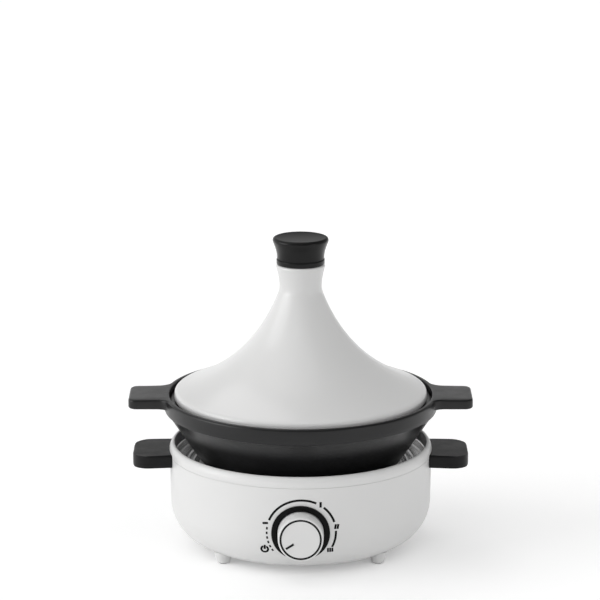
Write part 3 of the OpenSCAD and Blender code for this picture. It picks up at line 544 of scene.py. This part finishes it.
def make_lid():
    """A hollow cone, with a lip inside its brim and an open neck."""
    low, high = box_mm("lid")
    rim = high.x
    foot = low.z + LID_LIP
    band = foot + LID_BAND
    top = box_mm("lid_neck")[1].z
    shoulder = (rim - SHOULDER_IN, band + SHOULDER_UP)
    skin = lid_skin(shoulder, (WAIST_D / 2, top - NECK_H), top)
    inside = beside(skin, LID_WALL)[::-1]
    crown = (NECK_D / 2 - CROWN_R, top - CROWN_R)
    lip = rim - LIP_IN
    lip_in = lip - LIP_T
    outline = (
        [(lip_in, low.z + LIP_CHAMFER), (lip_in + LIP_CHAMFER, low.z)]
        + arc((lip - LIP_ROUND, low.z + LIP_ROUND), LIP_ROUND, -90, 0, 4)
        + [(lip, foot)]
        + curve((rim - BRIM_IN, foot), (rim - BRIM_PULL, foot),
                (rim, foot + BRIM_PULL), (rim, foot + BRIM_UP), 8)
        + curve((rim, band - BAND_END), (rim, band + BAND_PULL),
                (rim - SHOULDER_PULL[0], band + SHOULDER_PULL[1]), shoulder, 14)
        + skin[1:]
        + arc(crown, CROWN_R, *CROWN_ANGLES, 10)
        + inside[1:]
        + [(lip_in, shoulder[1] - LID_WALL)]
    )
    piece("lid_shell", loft(outline, closed=True), "lid", "white_glaze", ["lid", "lid_neck"])


# Stopper

CAP_FOOT_D = 53.6
CAP_FOOT_H = 5.4
CAP_FOOT_ROUND = 0.7
CAP_STEP_ROUND = 0.5
CAP_GROOVE = 0.6
CAP_GROOVE_H = 0.7
CAP_WAIST_D = 52.4
CAP_WAIST_UP = 1.2
CAP_WAIST_ROUND = 0.4
CAP_WALL = 3.0
CAP_ROOF = 4.5
CAP_CHAMFER = 0.4
HOLLOW_ROUND = 4.0
CAP_SOFT = 3.2
CAP_FLARE_END = 0.6

# Inwards from the soft edge and down from the top, and the drop in the middle
CAP_DISH = ((1.2, 0.25), (3.0, 0.7))
CAP_DISH_DROP = 0.8

# Handles of the flare: shares of the height, and millimetres inwards at the upper end
CAP_FLARE = (0.5, 0.7)
CAP_FLARE_IN = 1.6


def make_stopper():
    """A hollow cap that flares above a grooved foot, with a dished top."""
    low, high = box_mm("stopper")
    foot = CAP_FOOT_D / 2
    waist = CAP_WAIST_D / 2
    edge = high.x
    tall = high.z - low.z
    z = low.z
    groove = z + CAP_FOOT_H
    groove_r = waist - CAP_GROOVE
    waist_z = groove + CAP_WAIST_UP
    hollow = foot - CAP_WALL
    roof = high.z - CAP_ROOF
    roof_r = hollow - HOLLOW_ROUND
    soft = edge - CAP_SOFT
    outline = (
        [(0, roof), (roof_r, roof)]
        + arc((roof_r, roof - HOLLOW_ROUND), HOLLOW_ROUND, 90, 0, 6)
        + [(hollow, z + CAP_CHAMFER), (hollow + CAP_CHAMFER, z)]
        + arc((foot - CAP_FOOT_ROUND, z + CAP_FOOT_ROUND), CAP_FOOT_ROUND, -90, 0, 5)
        + arc((foot - CAP_STEP_ROUND, groove - CAP_STEP_ROUND), CAP_STEP_ROUND, 0, 90, 4)
        + [(groove_r, groove), (groove_r, groove + CAP_GROOVE_H)]
        + arc((waist - CAP_WAIST_ROUND, waist_z), CAP_WAIST_ROUND, -90, 0, 3)
        + curve((waist, waist_z + CAP_WAIST_ROUND), (waist, z + CAP_FLARE[0] * tall),
                (edge - CAP_FLARE_IN, z + CAP_FLARE[1] * tall),
                (edge, high.z - CAP_SOFT - CAP_FLARE_END), 28)
        + arc((soft, high.z - CAP_SOFT), CAP_SOFT, 0, 90, 12)
        + [(soft - inwards, high.z - drop) for inwards, drop in CAP_DISH]
        + [(0, high.z - CAP_DISH_DROP)]
    )
    piece("stopper_cap", loft(outline), "stopper", "black_gloss", ["stopper"])


# Pot

POT_LIP = 5.3
POT_LEDGE_DROP = 10.0
POT_LEDGE_W = 5.8
POT_STEP = 5.0
POT_D = 305.4
POT_BAND = 17.5
POT_BAND_STEP = 2.4
POT_LEAN = 33.3
POT_ROUND = 32.0
POT_WALL = 4.5
POT_FLOOR = 5.0
EAR_W = 62.0
EAR_T = 12.0
EAR_CORNER = 9.0
EAR_FILLET = 14.0
EAR_EDGE = 2.4
EAR_DROOP = 0.8
EAR_STEPS = (6, 12, 16, 16)
EAR_EDGE_TURN = 18

# How far the corners inside and outside the pot are eased
POT_SOFT = 1.2
STEP_FOOT_SOFT = (0.8, 0.3)
STEP_TOP_SOFT = (0.6, 0.4)
LEDGE_SOFT = (1.0, 0.3)
BAND_SOFT = (0.35, 0.4)
BAND_DROP = 0.5


def ear_shape(reach, inset):
    """Sizes of the rim and ears in plan, drawn in by an inset.

    The last value has the angles where one part meets the next."""
    rim = POT_D / 2 - inset
    half = EAR_W / 2 - inset
    end = reach - inset
    corner = EAR_CORNER - inset
    fillet = EAR_FILLET + inset
    fillet_x = math.sqrt((rim + fillet) ** 2 - (half + fillet) ** 2)
    turns = (
        math.atan2(half - corner, end),
        math.atan2(half, end - corner),
        math.atan2(half, fillet_x),
        math.atan2(half + fillet, fillet_x),
    )
    return rim, half, end, corner, fillet, fillet_x, turns


def ear_radius(reach, inset):
    """Gives the outer radius of the rim and ears at an angle."""
    rim, half, end, corner, fillet, fillet_x, turns = ear_shape(reach, inset)

    def reach_of(centre, radius, side, c, s):
        """How far out a ray meets the near or far side of a circle."""
        along = centre[0] * c + centre[1] * s
        off = centre[0] * s - centre[1] * c
        return along + side * math.sqrt(max(radius**2 - off**2, 0))

    def radius_at(angle):
        """The radius in the quarter to which the angle is folded."""
        c = abs(math.cos(angle))
        s = abs(math.sin(angle))
        turn = math.atan2(s, c)
        if turn < turns[0]:
            return end / c
        if turn < turns[1]:
            return reach_of((end - corner, half - corner), corner, 1, c, s)
        if turn < turns[2]:
            return half / s
        if turn < turns[3]:
            return reach_of((fillet_x, half + fillet), fillet, -1, c, s)
        return rim

    return radius_at


def ear_angles(reach):
    """Angles round the pot, close together where the ears turn."""
    turns = (0, *ear_shape(reach, 0)[-1])
    quarter = []
    for start, end, count in zip(turns, turns[1:], EAR_STEPS):
        quarter += [start + (end - start) * i / count for i in range(count)]
    rest = SEGMENTS // 4
    quarter += [turns[-1] + (math.pi / 2 - turns[-1]) * i / rest for i in range(rest)]
    half = quarter + [math.pi - a for a in [math.pi / 2, *quarter[:0:-1]]]
    return half + [a + math.pi for a in half]


def ear_edge(reach, rim, top):
    """Rings of the rounded edge round the rim and ears."""

    def droop(angle):
        """How far an ear hangs below the rim."""
        out = ear_radius(reach, 0)(angle) - rim
        return EAR_DROOP * max(out, 0) / (reach - rim)

    def edge_ring(degrees, upper):
        """One ring; past the ears the lower edge lies flat on the band."""
        a = math.radians(degrees)
        outline = ear_radius(reach, EAR_EDGE * (1 - math.cos(a)))
        rise = EAR_EDGE * (1 - math.sin(a))
        if upper:
            return outline, lambda angle: top - droop(angle) - rise
        return lambda angle: max(outline(angle), rim), top - EAR_T + rise

    turns = range(90, -1, -EAR_EDGE_TURN)
    return [edge_ring(d, True) for d in turns] + [edge_ring(d, False) for d in reversed(turns)]


def pot_rim(bowl, recess, ledge, join):
    """The wall's end, the sloping step and the ledge for the pan, inside the rim."""
    step_foot = ledge - POT_STEP
    step_top = bowl + POT_STEP
    wall = [(bowl - POT_SOFT / 2, join - POT_SOFT), (bowl - POT_SOFT / 12, join), (bowl, join + POT_SOFT)]
    step = [
        (bowl, step_foot - STEP_FOOT_SOFT[0]),
        (bowl + STEP_FOOT_SOFT[1], step_foot + STEP_FOOT_SOFT[1]),
        (step_top - STEP_TOP_SOFT[0], ledge - STEP_TOP_SOFT[0]),
        (step_top + STEP_TOP_SOFT[1], ledge),
    ]
    seat = [
        (recess - LEDGE_SOFT[0], ledge),
        (recess - LEDGE_SOFT[1], ledge + LEDGE_SOFT[1]),
        (recess, ledge + LEDGE_SOFT[0]),
    ]
    return wall + step + seat


def make_pot():
    """The cast pot: leaning wall, round bottom, stepped rim and two ears."""
    low, high = box_mm("pot")
    reach = high.x
    z = low.z
    top = high.z
    rim = POT_D / 2
    band = top - POT_BAND
    recess = rim - POT_LIP
    cone_top = rim - POT_BAND_STEP
    lean = math.tan(math.radians(POT_LEAN))
    cone_foot = cone_top - lean * (band - z)
    turn = math.tan(math.radians(90 - POT_LEAN) / 2)

    gap = POT_WALL / math.cos(math.radians(POT_LEAN))
    ledge = top - POT_LEDGE_DROP
    bowl = recess - POT_LEDGE_W - POT_STEP
    join = band - (cone_top - gap - bowl) / lean
    inner_round = POT_ROUND - POT_WALL
    inner_foot = cone_foot - gap + lean * POT_FLOOR
    inner_centre = (inner_foot - inner_round * turn, z + POT_FLOOR + inner_round)
    outer_centre = (cone_foot - POT_ROUND * turn, z + POT_ROUND)

    inside = (
        [(0, z + POT_FLOOR)]
        + arc(inner_centre, inner_round, -90, -POT_LEAN, 16)
        + pot_rim(bowl, recess, ledge, join)
        + arc((recess + POT_SOFT, top - POT_SOFT), POT_SOFT, 180, 90, 6)
        + [(rim - EAR_EDGE, top)]
    )
    outside = (
        [(rim, top - EAR_T), (rim, band + POT_SOFT), (rim - BAND_SOFT[0], band + BAND_SOFT[1])]
        + [(rim - POT_SOFT, band), (cone_top, band - BAND_DROP)]
        + arc(outer_centre, POT_ROUND, -POT_LEAN, -90, 20)
        + [(0, z)]
    )
    bm = loft(inside + ear_edge(reach, rim, top) + outside, ear_angles(reach))
    piece("pot_casting", bm, "pot", "nonstick", ["pot"])


# Grill pan

PAN_FLANGE_W = 12.4
PAN_FLANGE_T = 3.5
PAN_STEP_DROP = 5.5
PAN_STEP_W = 7.8
PAN_STEP_LEAN = 0.5
PAN_STEP_OUT = 2.6
PAN_WALL = 3.0
PAN_ROUND = 16.0
PAN_DRAFT = 10.5
PAN_CREASE = 2.2
PAN_FLOOR_DROP = 37.0
PAN_FOOT_H = 3.5
PAN_FOOT_W = 12.0
PAN_SOFT = 1.4
PAN_EDGE = 1.2
PAN_CORNER = 1.0
PAN_LEAD = 0.2

# The pebbled zone: up from the foot, down from the step, out along the round and off the inner wall
PEBBLE_UP = 2.0
PEBBLE_DOWN = 0.5
PEBBLE_ROUND = 0.55
PEBBLE_OFF = 0.2


def make_pan():
    """The flanged insert, with a leaning wall, a stepped rim and a foot ring."""
    low, high = box_mm("grill_pan")
    rim = high.x
    z = low.z
    top = high.z
    flange_in = rim - PAN_FLANGE_W
    wall_in = flange_in - PAN_STEP_W
    wall_out = wall_in + PAN_WALL
    floor = top - PAN_FLOOR_DROP
    ledge = top - PAN_STEP_DROP
    step_in = flange_in - PAN_STEP_LEAN - PAN_CORNER
    step_out = flange_in + PAN_STEP_OUT
    step_z = ledge - PAN_WALL
    under = top - PAN_FLANGE_T
    foot = wall_out - PAN_ROUND
    foot_in = foot - PAN_FOOT_W
    lean = math.degrees(math.atan2(PAN_DRAFT, ledge - floor))
    crease = (wall_in - PAN_DRAFT - PAN_CREASE, floor + PAN_CREASE)
    inside = (
        [(0, floor)]
        + arc(crease, PAN_CREASE, -90, -lean, 8)
        + arc((wall_in + PAN_SOFT, ledge - PAN_SOFT), PAN_SOFT, 180 - lean, 90, 6)
        + [(step_in - PAN_LEAD, ledge)]
        + arc((step_in, ledge + PAN_CORNER), PAN_CORNER, -90, 0, 4)
        + arc((flange_in + PAN_SOFT, top - PAN_SOFT), PAN_SOFT, 180, 90, 6)
    )
    edge = (
        arc((rim - PAN_EDGE, top - PAN_EDGE), PAN_EDGE, 90, 0, 6)
        + arc((rim - PAN_EDGE, under + PAN_EDGE), PAN_EDGE, 0, -90, 6)
        + arc((step_out + PAN_CORNER, under - PAN_CORNER), PAN_CORNER, 90, 180, 4)
        + arc((step_out - PAN_CORNER, step_z + PAN_CORNER), PAN_CORNER, 0, -90, 4)
        + arc((wall_out + PAN_CORNER, step_z - PAN_CORNER), PAN_CORNER, 90, 180, 4)
    )
    outside = (
        arc((foot, z + PAN_ROUND), PAN_ROUND, 0, -90, 16)
        + [(foot_in, z), (foot_in - PAN_FOOT_H, z + PAN_FOOT_H), (0, z + PAN_FOOT_H)]
    )
    bm = loft(inside + edge + outside)
    outer = max(foot + PEBBLE_ROUND * PAN_ROUND, wall_in + PEBBLE_OFF)
    mark_pebbles(bm, z + PEBBLE_UP, step_z - PEBBLE_DOWN, outer)
    pan = piece("pan_casting", bm, "grill_pan", "nonstick", ["grill_pan"])
    pan.data.materials.append(finishes["nonstick_pebbled"])
    make_ribs(floor)


def mark_pebbles(bm, low, high, outer):
    """Gives the second finish to the wall between two heights and outside a radius."""
    for face in bm.faces:
        middle = face.calc_center_median() / MM
        if low < middle.z < high and math.hypot(middle.x, middle.y) > outer:
            face.material_index = 1


RIB_COUNT = 6
RIB_PITCH = 27.0
RIB_W = 6.0
RIB_H = 3.0
RIB_ZONE_R = 80.0
RIB_SINK = 0.6
RIB_SLOPE = 1.0
RIB_SOFT = 1.0
RIB_SOFT_SHARE = 0.6
RIB_SHARP = 50

# Sections at a rib's end: millimetres from the end, and share of the height
RIB_END = ((0.0, 0.0), (2.0, 0.75), (5.0, 1.0))


def make_ribs(floor):
    """Round-topped ribs whose ends run down to the floor."""
    bm = bmesh.new()
    for i in range(RIB_COUNT):
        y = (i - (RIB_COUNT - 1) / 2) * RIB_PITCH
        half = math.sqrt(RIB_ZONE_R**2 - y * y)
        places = [(inwards - half, share) for inwards, share in RIB_END]
        places += [(half - inwards, share) for inwards, share in reversed(RIB_END)]
        foot = floor - RIB_SINK
        close_bar(bm, [rib_section(bm, x, y, foot, RIB_SINK + share * RIB_H) for x, share in places])
    piece("pan_ribs", bm, "grill_pan", "nonstick", sharp=RIB_SHARP)


def rib_section(bm, x, y, z, height):
    """Points across one rib, with round shoulders."""
    foot = RIB_W / 2
    soft = min(RIB_SOFT, RIB_SOFT_SHARE * height)
    shoulder = foot - RIB_SLOPE - soft
    outline = (
        [(-foot, z)]
        + arc((-shoulder, z + height - soft), soft, 180, 90, 4)
        + arc((shoulder, z + height - soft), soft, 90, 0, 4)
        + [(foot, z)]
    )
    return [bm.verts.new(upright(x, y + across, h)) for across, h in outline]


# Rim of the base

RIM_W = 6.2
RIM_EDGE = 1.2
RIM_PULL = 0.6
RIM_DROPS = (0.3, 0.7)
COLLAR_WALL = 2.6
CHANNEL_DROP = 4.16
SPIGOT_DRAFT = 0.2
BULGE = 0.2
SEAM_LEAN = (0.15, 1.5)
SEAM_SOFT = 0.5


def make_collar():
    """The rounded rim, with a wall down into the well and a spigot inside the housing."""
    low, high = box_mm("rim_collar")
    seam = box_mm("housing")[1].z
    body = high.x
    top = high.z
    tall = top - seam
    well = body - RIM_W
    housing_r = body - BULGE
    spigot = housing_r - COLLAR_WALL - CLEARANCE
    channel = top - CHANNEL_DROP
    foot = seam + CLEARANCE
    outline = (
        [(well, low.z)]
        + arc((well + RIM_EDGE, top - RIM_EDGE), RIM_EDGE, 180, 90, 8)
        + curve((well + RIM_EDGE, top), (well + RIM_PULL * RIM_W, top), (body, top - RIM_DROPS[0] * tall),
                (body, top - RIM_DROPS[1] * tall), 28)[1:]
        + [(body - SEAM_LEAN[0], foot + SEAM_LEAN[1])]
        + arc((housing_r - SEAM_SOFT, foot + SEAM_SOFT), SEAM_SOFT, 0, -90, 5)
        + [(spigot, foot), (spigot - SPIGOT_DRAFT, channel - COLLAR_WALL)]
        + [(well + COLLAR_WALL, channel), (well + COLLAR_WALL, low.z)]
    )
    piece("collar_ring", loft(outline, closed=True), "base", "white_plastic", ["rim_collar"])


# Liner of the well

SHEET_T = 0.8
FLANGE_BEND = 0.6
SHELF_DROP = 24.0
SHELF_BEND = 4.0
BEAD_H = 2.4
BEAD_W = 3.4
BEAD_IN = 13.0
BEAD_PULL = 1.3
SLOPE_W = 7.0
RING_SINK = 1.2
RING_BEND = 1.5
PLATE_GAP = 1.2


def make_liner():
    """Pressed sheet: flange, wall, shelf with a bead, slope and ring round the plate."""
    low, high = box_mm("well_liner")
    plate = box_mm("heating_plate")[1]
    collar = box_mm("rim_collar")[1]
    flange = high.z - SHEET_T / 2
    wall = collar.x - RIM_W - CLEARANCE - SHEET_T / 2
    shelf = collar.z - SHELF_DROP
    ring_z = plate.z - RING_SINK
    ring_r = plate.x + PLATE_GAP + SHEET_T / 2
    bead = wall - BEAD_IN
    bead_top = shelf + BEAD_PULL * BEAD_H
    slope = bead - 2 * BEAD_W
    mid_slope = slope - SLOPE_W / 2
    path = (
        [(high.x, flange), (wall + FLANGE_BEND, flange), (wall, flange - FLANGE_BEND)]
        + arc((wall - SHELF_BEND, shelf + SHELF_BEND), SHELF_BEND, 0, -90, 10)
        + curve((bead + BEAD_W, shelf), (bead + BEAD_W / 2, bead_top),
                (bead - BEAD_W / 2, bead_top), (bead - BEAD_W, shelf), 14)
        + curve((slope, shelf), (mid_slope, shelf), (mid_slope, ring_z), (slope - SLOPE_W, ring_z), 12)
        + arc((ring_r + RING_BEND, ring_z - RING_BEND), RING_BEND, 90, 180, 5)
        + [(ring_r, low.z)]
    )
    outline = beside(path, SHEET_T / 2) + beside(path, -SHEET_T / 2)[::-1]
    piece("liner_pressing", loft(outline, closed=True), "base", "stainless", ["well_liner"])


make_lid()
make_stopper()
make_pot()
make_pan()
make_collar()
make_liner()

# Marks round the dial, with places as (x, z) and angles clockwise from the top

RING_CENTRE = (0.7, 55.4)
RING_R = 37.6
MARK_LINE = 2.4
MARK_PROUD = 0.15
MARK_SINK = 0.5
LEVEL_ARCS = ((291.6, 385.6), (40.2, 72.1), (87.9, 117.4))
DASH_COUNT = 6
DASH_FROM = 276.8
DASH_TO = 236.2
DASH_HALF = 2.2
DASH_LINE = 1.9
LOWEST_MARK = (-38.4, 65.7)
LOWEST_HALF = 3.0
LOWEST_LEAN = 0.3
POWER_MARK = (-39.1, 34.9)
POWER_R = 3.7
POWER_LINE = 2.3
POWER_BAR = 1.6

# Ends of the ring of the power symbol, anticlockwise from the right
POWER_RING = (116, 424)

# Middle of each numeral, its height, how far it leans, and the width and pitch of its bars
NUMERALS = (
    ((21.6, 87.6), 6.2, 0.0, 2.5, 0.0),
    ((39.1, 61.6), 5.4, 0.4, 2.3, 2.7),
    ((32.1, 34.4), 5.4, 0.0, 2.0, 2.4),
)


def wall_depth():
    """Finds how far out the wall of the base is at a place seen from the front, in millimetres."""
    housing = nodes["housing"].data
    tree = BVHTree.FromPolygons([v.co for v in housing.vertices], [p.vertices for p in housing.polygons])

    def depth(x, z):
        """Y of the wall at one place."""
        hit = tree.ray_cast(Vector((x * MM, -1, z * MM)), Vector((0, 1, 0)))[0]
        return hit.y / MM

    return depth


def stroke(bm, depth, points, width):
    """A printed line along points in the front view."""
    loops = []
    for left, right in zip(beside(points, width / 2), beside(points, -width / 2)):
        corners = ((left, MARK_PROUD), (right, MARK_PROUD), (right, -MARK_SINK), (left, -MARK_SINK))
        loops.append([bm.verts.new(upright(x, depth(x, z) - lift, z)) for (x, z), lift in corners])
    close_bar(bm, loops)


def clock(angle):
    """A place on the printed ring."""
    a = math.radians(angle)
    return RING_CENTRE[0] + RING_R * math.sin(a), RING_CENTRE[1] + RING_R * math.cos(a)


def clock_line(start, end, steps):
    """Places along the printed ring."""
    return [clock(start + (end - start) * i / steps) for i in range(steps + 1)]


def upright_bars(bm, depth, count, middle, height, lean, width, pitch):
    """A Roman numeral made of bars."""
    x, z = middle
    for i in range(count):
        bar = x + (i - (count - 1) / 2) * pitch
        stroke(bm, depth, [(bar - lean, z - height / 2), (bar, z), (bar + lean, z + height / 2)], width)


def power_symbol(bm, depth):
    """A ring that is open at the top, and the bar in its gap."""
    x, z = POWER_MARK
    stroke(bm, depth, arc(POWER_MARK, POWER_R, *POWER_RING, 24), POWER_LINE)
    stroke(bm, depth, [(x, z), (x, z + POWER_R), (x, z + POWER_R + POWER_BAR)], POWER_LINE)


def make_marks():
    """Heat levels, warm range and off symbol printed round the dial."""
    depth = wall_depth()
    bm = bmesh.new()
    for start, end in LEVEL_ARCS:
        stroke(bm, depth, clock_line(start, end, 30), MARK_LINE)
    for i in range(DASH_COUNT):
        middle = DASH_FROM + (DASH_TO - DASH_FROM) * i / (DASH_COUNT - 1)
        stroke(bm, depth, clock_line(middle + DASH_HALF, middle - DASH_HALF, 3), DASH_LINE)
    x, z = LOWEST_MARK
    ends = [(x + side * LOWEST_HALF, z + side * LOWEST_LEAN) for side in (-1, 0, 1)]
    stroke(bm, depth, ends, MARK_LINE)
    for count, numeral in enumerate(NUMERALS, 1):
        upright_bars(bm, depth, count, *numeral)
    power_symbol(bm, depth)
    piece("dial_marks", bm, "base", "black_plastic", finish="print_ink")


make_marks()

# Camera, in metres and degrees

CAMERA_PLACE = (-0.0007, -3.21684, 1.07087)
CAMERA_DIP = 13.8146
CAMERA_LENS = 178.578
CAMERA_SENSOR = 36
CAMERA_FAR = 50

camera = add_object("camera", bpy.data.cameras.new("camera"))
camera.location = CAMERA_PLACE
camera.rotation_euler = (math.radians(90 - CAMERA_DIP), 0, 0)
camera.data.sensor_width = CAMERA_SENSOR
camera.data.lens = CAMERA_LENS
camera.data.clip_end = CAMERA_FAR
bpy.context.scene.camera = camera

# Light and floor

# Name, side that the light comes from, width in degrees and strength
SUNS = (
    ("key", (-0.95, -0.2, 0.4), 50, 0.85),
    ("low_key", (-0.93, -0.3, 0.06), 36, 0.65),
    ("fill", (0.75, -0.62, 0.06), 30, 0.33),
    ("top", (-0.15, -0.3, 0.94), 60, 0.36),
    ("back", (-0.24, 0.55, 0.75), 30, 0.25),
)


def soft_sun(name, side, width, strength):
    """Even light from one side, as soft as its width in degrees."""
    lamp = bpy.data.lights.new(name, "SUN")
    lamp.angle = math.radians(width)
    lamp.energy = strength
    add_object(name, lamp).rotation_euler = (-Vector(side)).to_track_quat("-Z", "Y").to_euler()


for sun in SUNS:
    soft_sun(*sun)


def seen_directly(tree):
    """One for camera, mirror and glass rays, and nothing for the light that falls on things."""
    path = tree.nodes.new("ShaderNodeLightPath")
    total = path.outputs["Is Camera Ray"]
    for ray in ("Is Glossy Ray", "Is Transmission Ray"):
        total = combine(tree, "MAXIMUM", total, path.outputs[ray])
    return total


AMBIENT = 0.54
CEILING = 0.3
DARK_SIDE = 0.45
DARK_FRONT = 0.3

# Between which directions each side of the room gets darker, along Z, X and Y
OVERHEAD = (0.12, 0.6)
SIDEWAYS = (-0.3, 0.6)
FRONTAL = (-0.9, -0.2)


def make_world():
    """Even light from a white room; in gloss it is darker overhead, in front and on the right."""
    world = bpy.data.worlds.new("studio")
    bpy.context.scene.world = world
    world.use_nodes = True
    tree = world.node_tree
    direction = tree.nodes.new("ShaderNodeTexCoord")
    split = tree.nodes.new("ShaderNodeSeparateXYZ")
    tree.links.new(direction.outputs["Generated"], split.inputs["Vector"])
    overhead = between(tree, split.outputs["Z"], 1.0, CEILING, *OVERHEAD)
    sideways = between(tree, split.outputs["X"], 1.0, DARK_SIDE, *SIDEWAYS)
    frontal = between(tree, split.outputs["Y"], DARK_FRONT, 1.0, *FRONTAL)
    room = combine(tree, "MULTIPLY", overhead, combine(tree, "MULTIPLY", sideways, frontal))
    level = between(tree, seen_directly(tree), AMBIENT, 1.0)
    tree.links.new(room, level.node.inputs["To Max"])
    camera_ray = tree.nodes.new("ShaderNodeLightPath").outputs["Is Camera Ray"]
    background = tree.nodes["Background"]
    background.inputs["Color"].default_value = WHITE
    tree.links.new(combine(tree, "MAXIMUM", level, camera_ray), background.inputs["Strength"])


FLOOR_SIZE = 30.0
FLOOR_COLOUR = (0.94, 0.94, 0.94)
FLOOR_GLOW = 0.25


def make_floor():
    """A white floor that keeps the shadow; its glow makes up the rest of the white."""
    bm = bmesh.new()
    bmesh.ops.create_grid(bm, x_segments=1, y_segments=1, size=FLOOR_SIZE / 2)
    made = add_object("floor", mesh_of("floor", bm))
    paint = new_finish("floor", FLOOR_COLOUR, roughness=0.9, Specular_IOR_Level=0.0)
    tree = paint.node_tree
    shader_of(paint).inputs["Emission Color"].default_value = WHITE
    glow = between(tree, seen_directly(tree), 0.0, FLOOR_GLOW)
    tree.links.new(glow, shader_of(paint).inputs["Emission Strength"])
    made.data.materials.append(paint)


make_world()
make_floor()

bpy.context.scene.view_settings.view_transform = "Standard"
